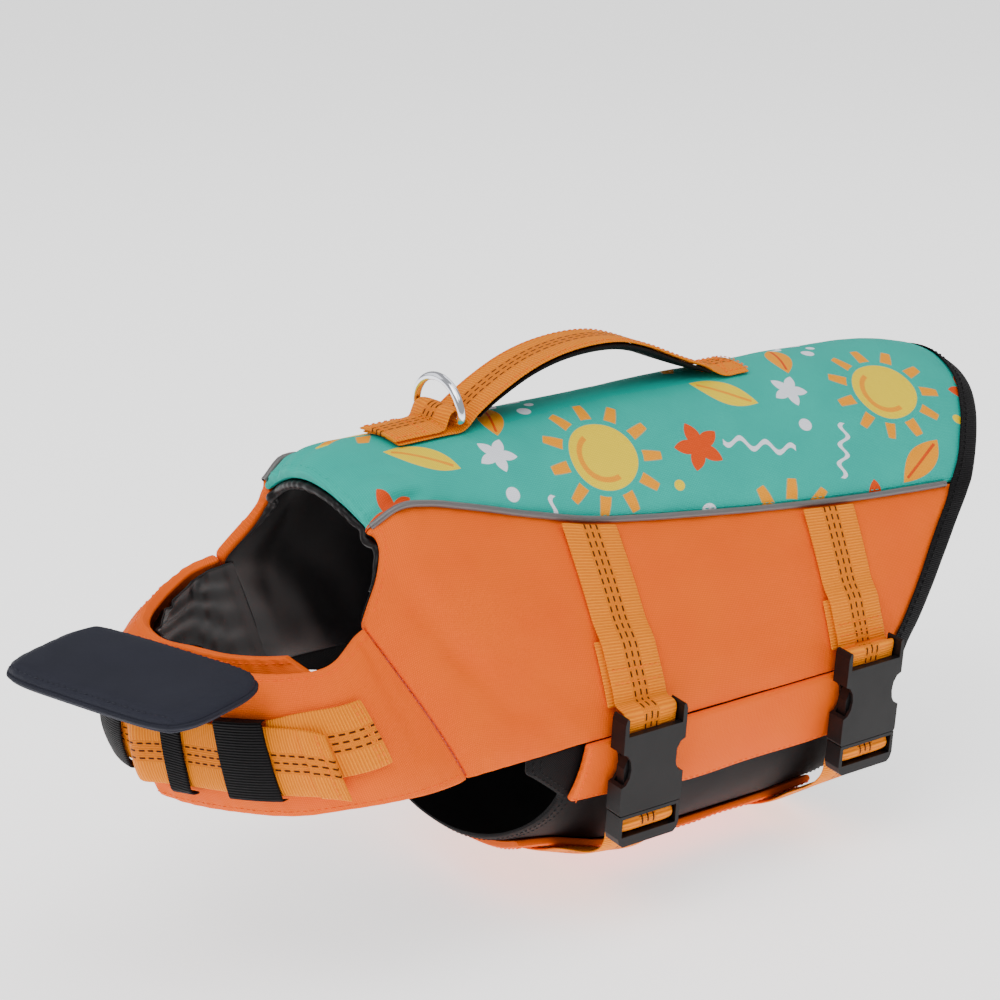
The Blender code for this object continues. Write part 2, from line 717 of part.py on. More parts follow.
def build_belly():
    """The black panel under the body and the two flaps that lap over it."""
    seam = math.degrees(SEAM_GAP / HIP_Y)
    steps = np.arange(BELLY_STEP, 180.0, BELLY_STEP)
    x = np.array(BELLY_LINES)
    left = np.concatenate([[seam], steps[steps < 23.0]])
    right = np.concatenate([steps[steps > 59.0], [180.0 - seam]])
    for name, turns in (("belly_flap_left", left), ("belly_flap_right", right)):
        up = np.clip(1 - np.minimum(turns, 180.0 - turns) / 22.5, 0.0, 1.0)
        lines = np.repeat(x[:, None], len(turns), axis=1)
        lines[0] += 5.0 * up
        lines[1] += 2.0 * up
        grids = [belly_point(lines, turns[None, :], d) for d in (0.0, FLAP_THICK)]
        wall_solid(name, *grids, cloth_orange())
    turns = np.concatenate([[seam], steps, [180.0 - seam]])
    ahead = np.stack([belly_front(turns), lerp(belly_front(turns), x[1], 0.5)])
    x = np.concatenate([ahead, np.repeat(x[1:, None], len(turns), axis=1)])
    inset = FLAP_THICK + SEAM_GAP + 0.1
    grids = [belly_point(x, turns[None, :], d) for d in (inset, inset + BELLY_THICK)]
    wall_solid("belly_panel", *grids, cloth_black())


# ------------------------------------------------------------------------ handle and ring
def saddle(x, y, lift):
    """Places on the back at x and y, lifted off it."""
    x, y, lift = np.broadcast_arrays(np.asarray(x, float), np.asarray(y, float), np.asarray(lift, float))
    a = y / column(STATIONS, "seam_y", x)
    point = back_point(x, a)
    slope = 2 * (column(STATIONS, "ridge_z", x) - column(STATIONS, "seam_z", x)) * a
    slope = slope / column(STATIONS, "seam_y", x)
    return point + np.stack([0 * x, 0 * x, lift * np.hypot(1.0, slope)], axis=-1)


def across_web():
    """Places across a piece of webbing."""
    return np.array([-0.5, -0.25, 0.0, 0.25, 0.5]) * WEBBING


def build_handle():
    """Grab handle: one length of webbing sewn down at both ends, its pad and the ring tab."""
    y = across_web()
    front_x = np.array([30.0, 40.0, 50.0, 62.7])
    rear_x = np.array([187.0, 195.0, 203.0])
    foot = saddle(front_x[:, None], y[None, :], 0.4)
    tail = saddle(rear_x[:, None], y[None, :], 0.4)
    arch_x = np.linspace(HANDLE_ARCH[0].x, HANDLE_ARCH[-1].x, 20)
    arch_z = column(HANDLE_ARCH, "z", arch_x)
    arch = np.stack([
        np.stack([np.full(5, px), y, np.full(5, pz)], axis=1) for px, pz in zip(arch_x, arch_z)
    ])
    under = np.concatenate([foot, arch, tail])
    ahead = unit(np.gradient(under, axis=0))
    up = unit(np.cross(ahead, np.gradient(under, axis=1)))
    up = up * np.sign(up[..., 2:3])
    web = wall_solid("handle_web", under + up * WEB_THICK, under, web_orange())
    join_to(web, [build_ring_tab()])
    pad = slice(5, 23)
    top = under[pad] - up[pad] * SEAM_GAP
    thick = 3.2 * np.sin(np.linspace(0.18, math.pi - 0.18, len(top))) ** 0.5
    wall_solid("handle_pad", top, top - up[pad] * thick[:, None, None], web_black())
    build_ring()


def ring_axis_z():
    """Height of the ring's bar above the strap entry."""
    return float(column(STATIONS, "ridge_z", RING_X)) + 0.4 + WEB_THICK + SEAM_GAP + RING_WIRE / 2


def build_ring_tab():
    """Webbing that runs over the bar of the ring and is sewn down before and behind it."""
    y = across_web() * 0.985
    low = 0.4 + WEB_THICK - 0.5
    over = RING_WIRE + 2 * SEAM_GAP + 0.8
    rise = ((-6.5, 0.0), (-4.0, 0.25), (-2.4, 0.85), (0.0, 1.05), (2.4, 0.85), (4.0, 0.25), (5.5, 0.0))
    places = np.array([28.5, 38.0] + [RING_X + step for step, _ in rise])
    lifts = low + np.array([0.0, 0.0] + [share * over for _, share in rise])
    under = saddle(places[:, None], y[None, :], lifts[:, None])
    centre_z = saddle(places, 0.0, lifts)[:, 2]
    raised = np.clip((lifts - low) / over, 0.0, 1.0)[:, None]
    under[..., 2] = lerp(under[..., 2], centre_z[:, None], raised)
    return wall_solid("ring_tab", under + np.array([0.0, 0.0, WEB_THICK]), under, web_orange())


def build_ring():
    """D ring whose bar lies across the spine, with its bow standing up."""
    half_width, rise, foot = 14.9, 12.8, 1.5
    turn = np.linspace(0.0, math.pi, 19)
    bow = np.stack([0 * turn, half_width * np.cos(turn), foot + rise * np.sin(turn)], axis=1)
    bar_y = np.array([-13.6, -12.4, -6.0, 0.0, 6.0, 12.4, 13.6])
    bar_z = np.array([0.25, 0, 0, 0, 0, 0, 0.25])
    bar = np.stack([0 * bar_y, bar_y, bar_z], axis=1)
    path = np.concatenate([bow, bar]) + np.array([RING_X, 0.0, ring_axis_z()])
    tube_solid("d_ring", path, RING_WIRE / 2, 8, chrome(), closed=True)


# ----------------------------------------------------------------------- straps, buckles
BUCKLE_Y = -83.6          # middle plane of the buckles at the strap entry
BUCKLE_TILT = math.radians(6.0)
BUCKLE_HALF = 14.8
BUCKLE_THICK = 8.0
FEMALE_TOP, FEMALE_LOW = -4.6, 36.0
PLATE_TOP = 3.1           # where the female's front begins, below the ears
MALE_LOW = 49.5
WINDOW_TOP, WINDOW_LOW = 37.7, 45.4
BAR_TOP, BAR_LOW = 40.4, 42.2
SLOT_WIDTH = WEBBING + 0.8


def buckle_place(strap_x, u, v, w):
    """A place on a buckle: u along the body, v down from the strap entry, w out from it."""
    u, v, w = np.broadcast_arrays(np.asarray(u, float), np.asarray(v, float), np.asarray(w, float))
    sin, cos = math.sin(BUCKLE_TILT), math.cos(BUCKLE_TILT)
    return np.stack([strap_x + u, BUCKLE_Y + v * sin - w * cos, -v * cos - w * sin], axis=-1)


def buckle_block(name, strap_x, outline, low, high):
    """An outline on the buckle's face, made into a block between two depths."""
    outline = np.asarray(outline, float)
    sections = [buckle_place(strap_x, outline[:, 0], outline[:, 1], w) for w in (low, high)]
    return swept_solid(name, sections, buckle_plastic(), sharp_deg=30.0)


def cut_from(target, cutters):
    """Takes the cutters out of the target and deletes them."""
    for cutter in cutters:
        change = target.modifiers.new(cutter.name, "BOOLEAN")
        change.operation = "DIFFERENCE"
        change.object = cutter
    apply_modifiers(target, cutters)


def join_to(target, others):
    """Joins the others to the target as one body and deletes them."""
    for other in others:
        change = target.modifiers.new(other.name, "BOOLEAN")
        change.operation = "UNION"
        change.object = other
    apply_modifiers(target, others)


def apply_modifiers(target, helpers):
    """Fixes the target's modifiers into its mesh and removes the helper objects."""
    bpy.context.view_layer.update()
    evaluated = target.evaluated_get(bpy.context.evaluated_depsgraph_get())
    mesh = bpy.data.meshes.new_from_object(evaluated)
    work = bmesh.new()
    work.from_mesh(mesh)
    bmesh.ops.remove_doubles(work, verts=work.verts[:], dist=0.00001)
    bmesh.ops.dissolve_degenerate(work, edges=work.edges[:], dist=0.00001)
    work.to_mesh(mesh)
    work.free()
    target.modifiers.clear()
    target.data = mesh
    for helper in helpers:
        bpy.data.objects.remove(helper)


def rectangle(u0, u1, v0, v1):
    """Corners of a rectangle on a buckle's face."""
    return [(u0, v0), (u1, v0), (u1, v1), (u0, v1)]


def build_buckle(name, strap_x):
    """A fastened side release buckle: the female with its side notches, the male inside it."""
    half, deep = BUCKLE_HALF, BUCKLE_THICK / 2
    notch_mid, notch_half, notch_in = 17.0, 7.0, 4.2
    turn = np.linspace(-math.pi / 2, math.pi / 2, 7)
    notch = [(half - notch_in * math.cos(t), notch_mid + notch_half * math.sin(t)) for t in turn]
    ear_in = SLOT_WIDTH / 2
    right = [(ear_in, PLATE_TOP), (ear_in, FEMALE_TOP + 0.8), (ear_in + 0.6, FEMALE_TOP),
             (half - 0.6, FEMALE_TOP + 0.4), (half, FEMALE_TOP + 2.4)]
    right += notch + [(half, FEMALE_LOW - 1.0), (half - 0.6, FEMALE_LOW)]
    outline = right + [(-u, v) for u, v in right[::-1]]
    female = buckle_block(f"{name}_female", strap_x, outline, -deep, deep)
    slot = buckle_block("slot", strap_x, rectangle(-ear_in, ear_in, -9.0, 8.0), -1.3, 1.3)
    cavity = buckle_block("cavity", strap_x, rectangle(-13.2, 13.2, 10.0, 40.0), -2.7, 2.7)
    cut_from(female, [slot, cavity])

    low = MALE_LOW
    base = [(half - 0.4, FEMALE_LOW + SEAM_GAP), (half - 0.2, low - 4.0),
            (half - 1.0, low - 1.4), (half - 2.6, low)]
    outline = base + [(-u, v) for u, v in base[::-1]]
    male = buckle_block(f"{name}_male", strap_x, outline, -deep, deep)
    opening = rectangle(-ear_in, ear_in, WINDOW_TOP, WINDOW_LOW)
    cut_from(male, [buckle_block("window", strap_x, opening, -9.0, 9.0)])
    across = rectangle(-ear_in - 0.6, ear_in + 0.6, BAR_TOP, BAR_LOW)
    bar = buckle_block("bar", strap_x, across, -1.1, 1.1)
    side = [(7.4, 38.0), (8.8, 27.0), (8.2, 19.0), (9.0, 12.0),
            (10.8, 12.4), (12.7, 17.0), (12.2, 24.0), (10.8, 38.0)]
    prongs = []
    for sign in (-1, 1):
        outline = [(sign * u, v) for u, v in side]
        prongs.append(buckle_block(f"prong{sign}", strap_x, outline, -2.2, 2.2))
    tongue = buckle_block("tongue", strap_x, rectangle(-2.2, 2.2, 18.0, 38.0), -2.1, 2.1)
    join_to(male, [bar, tongue] + prongs)


STRAP_LINES = (0.035, 0.09, 0.135, 0.24, 0.343, 0.474, 0.54, 0.593, 0.66, 0.724, 0.80, 0.862)


def build_upper_strap(name, strap_x):
    """Webbing sewn to the left side panel, doubled below, that ends in the buckle."""
    half = WEBBING / 2
    b = np.array(STRAP_LINES)
    double = np.clip((b - 0.50) / 0.09, 0.0, 1.0)
    outs = strap_normals(strap_x, b)
    lift = 0.6 + double * (WEB_THICK + 0.4) + np.clip((b - 0.7) / 0.16, 0.0, 1.0) * 0.6
    lines = [side_point(strap_x + shift, b, LEFT) + outs * lift[:, None] for shift in (-half, half)]
    entry_v = np.array([-3.0, 2.0, 7.2])
    entry = [buckle_place(strap_x, shift, entry_v, -WEB_THICK / 2) for shift in (-half, half)]
    entry_out = unit(np.array([[0.0, -math.cos(BUCKLE_TILT), -math.sin(BUCKLE_TILT)]] * 3))
    left, right = [np.concatenate([line, end]) for line, end in zip(lines, entry)]
    normals = np.concatenate([outs, entry_out])
    strap = ribbon_solid(name, left, right, normals, 0.0, WEB_THICK, web_orange())
    doubled = (b > 0.59) & (b < 0.87)
    edges = [side_point(strap_x + shift, b[doubled], LEFT) for shift in (-half - 2.0, half - 2.0)]
    depth = lift[doubled] - 0.6 + 0.5
    tail = ribbon_solid("tail", *edges, outs[doubled], 0.6, depth, web_orange())
    join_to(strap, [tail])


def strap_normals(strap_x, b, side=LEFT):
    """Outward normals of a side panel down a strap."""
    small = 0.01
    down = side_point(strap_x, b + small, side) - side_point(strap_x, b - small, side)
    normals = unit(np.cross(down, (1.0, 0.0, 0.0)))
    return normals * np.sign(normals[:, 1:2]) * side


def build_under_strap(name, strap_x):
    """Webbing from the buckle's male under the belly and up the right side panel."""
    half, middle = WEBBING / 2, WEB_THICK / 2
    loop = np.array([(38.9, -5.6), (38.9, -3.0), (38.8, -0.8), (38.9, 1.4), (40.0, 2.5), (42.6, 2.5),
                     (43.9, 1.4), (44.2, -1.0), (44.25, -4.3), (45.3, -6.0), (47.5, -6.5), (50.5, -6.7)])
    lift = 0.8 + middle
    edges = []
    start = buckle_place(strap_x, 0.0, *loop[-1])
    touch = BELLY_STEP * math.ceil(tangent_turn(strap_x, start, lift) / BELLY_STEP)
    turns = np.arange(touch, 180.0, BELLY_STEP)
    b = np.array([0.954, 0.862, 0.724, 0.593, 0.474, 0.343, 0.24, 0.135, 0.06])
    for shift in (-half, half):
        edge = [buckle_place(strap_x, shift, v, w) for v, w in loop]
        edge += [belly_out(strap_x + shift, turn, lift) for turn in turns]
        rise = side_point(strap_x + shift, b, RIGHT) + strap_normals(strap_x, b, RIGHT) * (lift + 0.2)
        edges.append(np.concatenate([np.array(edge), rise]))
    centre = 0.5 * (edges[0] + edges[1])
    ahead = unit(np.gradient(centre, axis=0))
    out = unit(np.cross(ahead, (1.0, 0.0, 0.0)))
    ribbon_solid(name, *edges, out, -middle, WEB_THICK, web_orange())


def belly_out(x, turn, lift):
    """A place off the belly curve, lifted outwards."""
    small = 0.5
    point = belly_point(x, turn, 0.0)
    along = belly_point(x, turn + small, 0.0) - belly_point(x, turn - small, 0.0)
    out = unit(np.cross(along, (1.0, 0.0, 0.0)))
    out = out * np.sign(np.dot(out, point - np.array([x, 0.0, HIP_Z])))
    return point + out * lift


def tangent_turn(x, start, lift):
    """The first place on the belly that a tight strap from the start point touches."""
    turns = np.arange(20.0, 100.0, 1.0)
    for turn in turns:
        here = belly_out(x, turn, lift)
        ahead = belly_out(x, turn + 1.0, lift)
        span, step = here - start, ahead - here
        if span[1] * step[2] - span[2] * step[1] >= 0:
            return float(turn)
    return float(turns[-1])


# ------------------------------------------------------------------ chest closure and float
def belt_grid(points, ribs, across, lifts):
    """Grid over a wing that follows a belt: offsets down the wing in mm, and their lifts."""
    rib = np.array([p.rib for p in points])[:, None]
    depth = np.array([p.depth for p in points])[:, None]
    length = np.linalg.norm(wing_point(ribs, rib, 1.0) - wing_point(ribs, rib, 0.0), axis=-1)
    down = depth + np.asarray(across, float)[None, :] / length
    rib = np.broadcast_to(rib, down.shape)
    small = 0.04
    side = np.minimum(rib + small, len(ribs) - 1.0)
    along = wing_point(ribs, side, down) - wing_point(ribs, side - 2 * small, down)
    fall = wing_point(ribs, rib, down + small) - wing_point(ribs, rib, down - small)
    out = unit(np.cross(fall, along))
    place = wing_point(ribs, rib, down)
    out = out * np.sign(np.sum(out * (place - np.array([0.0, 0.0, 15.0])), axis=-1))[..., None]
    return place + out * np.asarray(lifts, float)[..., None], out


def finer_belt(points, count):
    """The belt's places, read as a smooth run."""
    number = np.arange(len(points))
    at = np.linspace(0, len(points) - 1, count)
    ribs = smooth(number, [p.rib for p in points], at)
    depths = smooth(number, [p.depth for p in points], at)
    return [BeltPoint(r, d) for r, d in zip(ribs, depths)]


BELT_LOW = 0.7            # clearance of the chest webbing over the wings
BELT_OVER = BELT_LOW + WEB_THICK - 0.3      # sewn down onto the patch


def build_chest_closure():
    """Adjusting strap of the chest closure with its sewn patch, and its keeper."""
    across = across_web()
    patch, out = belt_grid(finer_belt(PATCH, 9), LEFT_RIBS, across, BELT_LOW)
    base = wall_solid("patch", patch + out * WEB_THICK, patch, web_orange())
    near, out_near = belt_grid(finer_belt(BELT_LEFT, 19), LEFT_RIBS, across, BELT_OVER)
    far, out_far = belt_grid(finer_belt(BELT_RIGHT, 13), RIGHT_RIBS, across, BELT_LOW)
    under, out = np.concatenate([near, far]), np.concatenate([out_near, out_far])
    thick = np.full(len(under), WEB_THICK)
    thick[:2] = 2 * WEB_THICK
    strap = wall_solid("chest_strap", under + out * thick[:, None, None], under, web_orange())
    join_to(strap, [base])
    build_keeper("keeper_wide", 4.2, 5.8, BELT_OVER + WEB_THICK + 0.4)


def build_keeper(name, first, last, lift):
    """A band of black webbing over the chest strap, turned in at both of its edges."""
    ribs = np.linspace(first, last, 6)
    depths = np.interp(ribs, [p.rib for p in BELT_LEFT], [p.depth for p in BELT_LEFT])
    edge = WEBBING / 2
    across = np.array([-edge - 1.7, -edge - 0.8, -edge * 0.5, 0.0, edge * 0.5, edge + 0.8, edge + 1.7])
    lifts = np.array([0.7, lift, lift, lift, lift, lift, 0.7])
    grid, out = belt_grid([BeltPoint(r, d) for r, d in zip(ribs, depths)], LEFT_RIBS, across, lifts)
    wall_solid(name, grid + out * 1.1, grid, web_black())


FLOAT_CENTRE = np.array([-86.6, -15.8, 38.0])
FLOAT_YAW = math.radians(15.0)
FLOAT_TILT = math.radians(4.6)
FLOAT_LENGTH, FLOAT_WIDTH, FLOAT_THICK = 93.5, 47.0, 8.6


def float_frame():
    """Directions of the chin float: along it, across it (up and back) and out of its top."""
    along = np.array([-math.sin(FLOAT_YAW), math.cos(FLOAT_YAW), 0.0])
    level = np.array([math.cos(FLOAT_YAW), math.sin(FLOAT_YAW), 0.0])
    across = level * math.cos(FLOAT_TILT) + np.array([0.0, 0.0, math.sin(FLOAT_TILT)])
    return along, across, np.cross(across, along) * np.sign(np.cross(across, along)[2])


def build_float():
    """Flat padded float with round corners, held out before the neck."""
    along, across, top = float_frame()
    u = np.array([-1.0, -0.95, -0.84, -0.66, -0.4, -0.13, 0.13, 0.4, 0.66, 0.84, 0.95, 1.0])
    v = np.array([-1.0, -0.9, -0.7, -0.4, 0.0, 0.4, 0.7, 0.9, 1.0])
    uu, vv = np.meshgrid(u, v, indexing="ij")
    round_off = 0.24
    place_u = FLOAT_LENGTH / 2 * uu * np.sqrt(1 - round_off * vv**4)
    place_v = FLOAT_WIDTH / 2 * vv * np.sqrt(1 - round_off * uu**6)
    reach = np.maximum(np.abs(uu), np.abs(vv))
    half = 1.5 + (FLOAT_THICK / 2 - 1.5) * (1 - reach**6) ** 0.5
    middle = FLOAT_CENTRE + place_u[..., None] * along + place_v[..., None] * across
    lift = top * half[..., None]
    wall_solid("chin_float", middle + lift, middle - lift, float_cloth())


def build_float_tabs():
    """Black tabs that hang from under the float and turn in below the chest strap."""
    along, across, top = float_frame()
    edge = WEBBING / 2
    down = np.array([-edge + 1.0, 0.0, edge - 1.0, edge + 1.2, edge + 2.4])
    for name, ribs, rib, depth, half, lift in (
        ("float_tab", LEFT_RIBS, 7.42, 0.577, 0.36, BELT_OVER + WEB_THICK + 0.5),
        ("keeper_far", RIGHT_RIBS, 5.45, 0.68, 0.40, BELT_LOW + WEB_THICK + 1.2),
    ):
        turn = np.array([lift, lift, lift, lift, 0.7])
        grid, out = belt_grid([BeltPoint(rib + s * half, depth) for s in (-1.0, 1.0)], ribs, down, turn)
        reach = np.sum((grid[:, 0] - FLOAT_CENTRE) * along, axis=-1)[:, None] * along
        back = across * (FLOAT_WIDTH / 2 - 3.0)
        hang = FLOAT_CENTRE + reach - top * (FLOAT_THICK / 2 + 0.4)
        roots = [(hang + back - across * 9.0)[:, None], (hang + back)[:, None]]
        grid = np.concatenate([*roots, grid], axis=1)
        out = np.concatenate([np.broadcast_to(-top, (2, 2, 3)), out], axis=1)
        wall_solid(name, grid + out * 1.1, grid, web_black())


# --------------------------------------------------------------------------------- the part
def main():
    """Builds every piece of the jacket."""
    for leftover in list(bpy.data.objects):
        bpy.data.objects.remove(leftover)
    back, sides = build_panels()
    build_piping()
    build_neck_casing(back, sides)
    build_rear_binding(back, sides)
    build_belly()
    build_handle()
    for name, strap_x in (("front", FRONT_STRAP_X), ("rear", REAR_STRAP_X)):
        build_upper_strap(f"strap_{name}", strap_x)
        build_buckle(f"buckle_{name}", strap_x)
        build_under_strap(f"under_strap_{name}", strap_x)
    build_chest_closure()
    build_float()
    build_float_tabs()


main()
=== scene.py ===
"""Dog life jacket: its padding, folds, sewing, finishes and light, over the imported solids.

The dog looks along -X, its back is up and its left side is at -Y.  The surfaces are worked
out in the tailor's frame, in millimetres: x runs back from the neck edge of the back seam, y
is measured from the spine and z from the height where the straps enter the buckles.
`to_row` brings them into the row's own frame, in metres.
"""

import logging
import math
from dataclasses import dataclass, field
from enum import Enum
from typing import NamedTuple, Sequence

import bmesh
import bpy
import numpy as np
from mathutils import Matrix, Vector


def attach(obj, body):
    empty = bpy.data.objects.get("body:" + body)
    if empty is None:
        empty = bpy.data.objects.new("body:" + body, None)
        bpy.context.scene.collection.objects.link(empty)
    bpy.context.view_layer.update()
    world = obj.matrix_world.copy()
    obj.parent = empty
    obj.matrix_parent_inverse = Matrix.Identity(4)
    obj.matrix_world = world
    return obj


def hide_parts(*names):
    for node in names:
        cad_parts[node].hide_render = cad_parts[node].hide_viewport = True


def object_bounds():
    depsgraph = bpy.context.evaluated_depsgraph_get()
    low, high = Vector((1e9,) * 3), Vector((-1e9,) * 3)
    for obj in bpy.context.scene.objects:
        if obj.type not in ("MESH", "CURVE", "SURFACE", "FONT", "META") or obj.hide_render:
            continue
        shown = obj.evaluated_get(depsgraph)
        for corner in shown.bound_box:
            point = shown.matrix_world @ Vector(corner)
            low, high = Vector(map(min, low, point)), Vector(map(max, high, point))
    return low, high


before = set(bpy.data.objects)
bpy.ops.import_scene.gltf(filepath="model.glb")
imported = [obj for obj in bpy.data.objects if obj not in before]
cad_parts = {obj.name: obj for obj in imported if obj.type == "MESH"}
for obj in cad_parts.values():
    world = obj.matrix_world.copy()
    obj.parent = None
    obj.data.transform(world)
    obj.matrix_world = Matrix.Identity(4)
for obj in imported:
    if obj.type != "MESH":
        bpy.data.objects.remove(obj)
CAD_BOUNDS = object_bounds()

LOG = logging.getLogger("life_jacket")
Socket = bpy.types.NodeSocket
Amount = np.ndarray | float

# ---------- driving dimensions, mm
MM = 0.001
WEBBING = 25.0
WEB_THICK = 1.5
SEAM_GAP = 0.3
HIP_Y = 77.5
HIP_Z = -7.0
BACK_THICK = 9.0
SIDE_THICK = 9.0
WING_THICK = 6.5
EDGE_THICK = 4.2
EDGE_DROP = 1.8
EDGE_REACH = 12.0         # how far in from a seam the padding is pressed down
LINING = 1.0
LINING_GAP = 0.65
FLAP_THICK = 3.4
BELLY_THICK = 2.6
PIPING_R = 1.3
CASING_R = 1.9
BINDING_WIDTH = 11.0
BINDING_GAP = 0.35
BINDING_THICK = 1.1
CORNER_REACH = 20.0       # of the black panel, forward along the belly seams
STRIP_REACH = 18.0        # of its right corner, further along the seam to the leg hole
NARROWEST = 10.0          # the least width that a rolled cloth's cut is declared with
FRONT_STRAP_X = 92.0
REAR_STRAP_X = 203.7
RING_X = 56.5
RING_WIRE = 3.4
BACK_FRONT_X = -4.0
BACK_REAR_X = 316.5
HEM_SEAM_X = 279.0
HEM_HIP_X = 229.0
DART_TOP_X = -13.5
DART_LOW_X = 14.6
DART_TOP_B = 0.343
LEFT, RIGHT = -1.0, 1.0   # the sign of y
SIDES = {LEFT: "left", RIGHT: "right"}
UV_NAME = "cloth"         # millimetres along and across each piece
BODY = "jacket"


# ---------- short tables
class Station(NamedTuple):
    """Cross-section of the jacket at one place along the spine."""

    x: float
    ridge_z: float
    seam_y: float
    seam_z: float
    full_high: float
    full_low: float


STATIONS = (
    Station(-16, 92, 37, 78.5, 3.5, 1),
    Station(-4, 94.5, 37.6, 80, 3.5, 1),
    Station(0, 96.3, 38, 81.5, 3.5, 1.2),
    Station(10, 98.7, 40, 87, 3, 1.5),
    Station(24, 100.2, 40, 86.3, 2.5, 2),
    Station(37, 100.8, 40.4, 83, 2, 2.5),
    Station(65, 101.8, 42, 75, 1.5, 3),
    Station(94, 102.4, 43.8, 67.5, 1.5, 3),
    Station(119, 102.6, 46.2, 63.8, 1.5, 2.4),
    Station(144, 102.7, 49, 61.2, 1.5, 2),
    Station(182, 102.6, 53, 57.7, 1, 1.6),
    Station(218, 102.3, 56.8, 55.2, 1, 1.6),
    Station(250, 101.5, 60, 54, 1.2, 1.6),
    Station(281, 99.8, 62.5, 53, 1.5, 1.5),
    Station(300, 95.8, 63, 51.5, 1.5, 1.5),
    Station(320, 87, 63, 50, 1.5, 1.5),
)


class Belly(NamedTuple):
    """Depth of the belly below the belly seam at one place along the spine."""

    x: float
    depth: float


BELLIES = (
    Belly(45, 55), Belly(52, 59), Belly(63, 62.5), Belly(72, 64.3),
    Belly(81, 66.5), Belly(92, 70.5), Belly(104, 74.8), Belly(118, 77.3),
    Belly(150, 77.6), Belly(190, 77.6), Belly(225, 76),
)


class Rib(NamedTuple):
    """One line down a chest wing, from its neck edge to its lower edge."""

    top_x: float
    top_y: float
    top_z: float
    low_x: float
    low_y: float
    low_z: float
    full: float


LEFT_RIBS = (
    Rib(-13.5, -55.9, 51.3, 14.6, -79.5, -7, 2.5),
    Rib(-24, -58.5, 46, -5, -80.2, -6.8, 3),
    Rib(-33, -57, 41.5, -21, -78.3, -7, 4),
    Rib(-41, -50.5, 39.5, -34.5, -72, -8.3, 4),
    Rib(-48, -42, 37.8, -44, -60.5, -12, 3),
    Rib(-53.5, -32.5, 36.5, -50.5, -48, -14.8, 2.5),
    Rib(-57.5, -21, 35.5, -55.5, -34, -17.2, 2.5),
    Rib(-60.5, -8, 35, -59.8, -20, -19.4, 3),
    Rib(-63.7, 4, 35, -63, -6, -21.4, 5),
    Rib(-67.5, 14, 35, -67, 6.5, -21.4, 8),
)
RIGHT_RIBS = (
    Rib(-13.5, 55.9, 51.3, 14.6, 79.5, -7, 2.5),
    Rib(-24, 60, 46, -5, 80.5, -7, 3),
    Rib(-34, 58, 42, -22, 78, -8, 5),
    Rib(-43, 52, 40, -37, 69, -11, 7.5),
    Rib(-51.5, 43, 39, -49, 57, -15, 10),
    Rib(-57.5, 31.5, 38.5, -58.5, 42, -18, 10),
    Rib(-58.5, 18, 37, -60, 26, -19, 8),
    Rib(-54.5, 3, 35.5, -55, 8, -18, 2),
    Rib(-49.5, -13.5, 36, -49, -12, -15, 1.5),
    Rib(-41.5, -29.5, 38, -40, -32, -11, 1.5),
    Rib(-30.5, -43.5, 40.5, -28, -46.5, -7, 1.5),
)


class Rise(NamedTuple):
    """Height of the handle above the strap entry at one place along the spine."""

    x: float
    z: float


HANDLE_ARCH = (
    Rise(67.5, 106), Rise(73, 109.5), Rise(82, 114.3), Rise(93, 119),
    Rise(104, 122), Rise(115, 123.5), Rise(126, 123.8), Rise(137, 122.6),
    Rise(149, 118.8), Rise(161, 113.4), Rise(171, 109), Rise(178, 106.4),
)


class BeltPoint(NamedTuple):
    """A place on a chest wing: along its ribs and down its depth."""

    rib: float
    depth: float


PATCH = (
    BeltPoint(1.50, 0.48), BeltPoint(2.4, 0.485), BeltPoint(3.3, 0.50), BeltPoint(4.2, 0.53),
)
BELT_LEFT = (
    BeltPoint(2.70, 0.65), BeltPoint(3.2, 0.60), BeltPoint(4.2, 0.565), BeltPoint(5.2, 0.565),
    BeltPoint(6.2, 0.57), BeltPoint(7.2, 0.575), BeltPoint(8.2, 0.585), BeltPoint(8.95, 0.60),
)
BELT_RIGHT = (
    BeltPoint(6.05, 0.67), BeltPoint(5.5, 0.68), BeltPoint(4.7, 0.68), BeltPoint(3.8, 0.66),
    BeltPoint(2.9, 0.62), BeltPoint(2.1, 0.56),
)


class Crease(NamedTuple):
    """A soft trough, or a ridge where its depth is negative, pressed into a panel.

    It runs from (u0, v0) to (u1, v1) on the panel, all in millimetres.
    """

    u0: float
    v0: float
    u1: float
    v1: float
    width: float
    depth: float


BACK_CREASES = (
    Crease(-2, -40, 24, -36, 3, 2.2), Crease(2, -30, 22, -44, 2.8, 1.6),
    Crease(-3, -20, 16, -24, 2.6, 1.6), Crease(-3, -9, 12, -11, 2.4, 1.1),
    Crease(-3, 10, 13, 12, 2.8, 1.2), Crease(-3, 26, 20, 31, 3, 1.8),
    Crease(-2, 38, 23, 42, 3, 1.5), Crease(28, -45, 52, -30, 6, 0.7),
    Crease(96, -56, 108, -30, 7, 0.6), Crease(150, -58, 142, -34, 8, 0.5),
    Crease(214, -60, 226, -30, 7, 0.6), Crease(262, -64, 250, -44, 6, 0.8),
    Crease(278, -30, 302, -20, 7, 0.7), Crease(276, 14, 306, 22, 8, 0.6),
    Crease(106, 54, 96, 30, 7, 0.6), Crease(206, 58, 220, 34, 8, 0.6),
    Crease(268, 60, 252, 42, 6, 0.7),
)
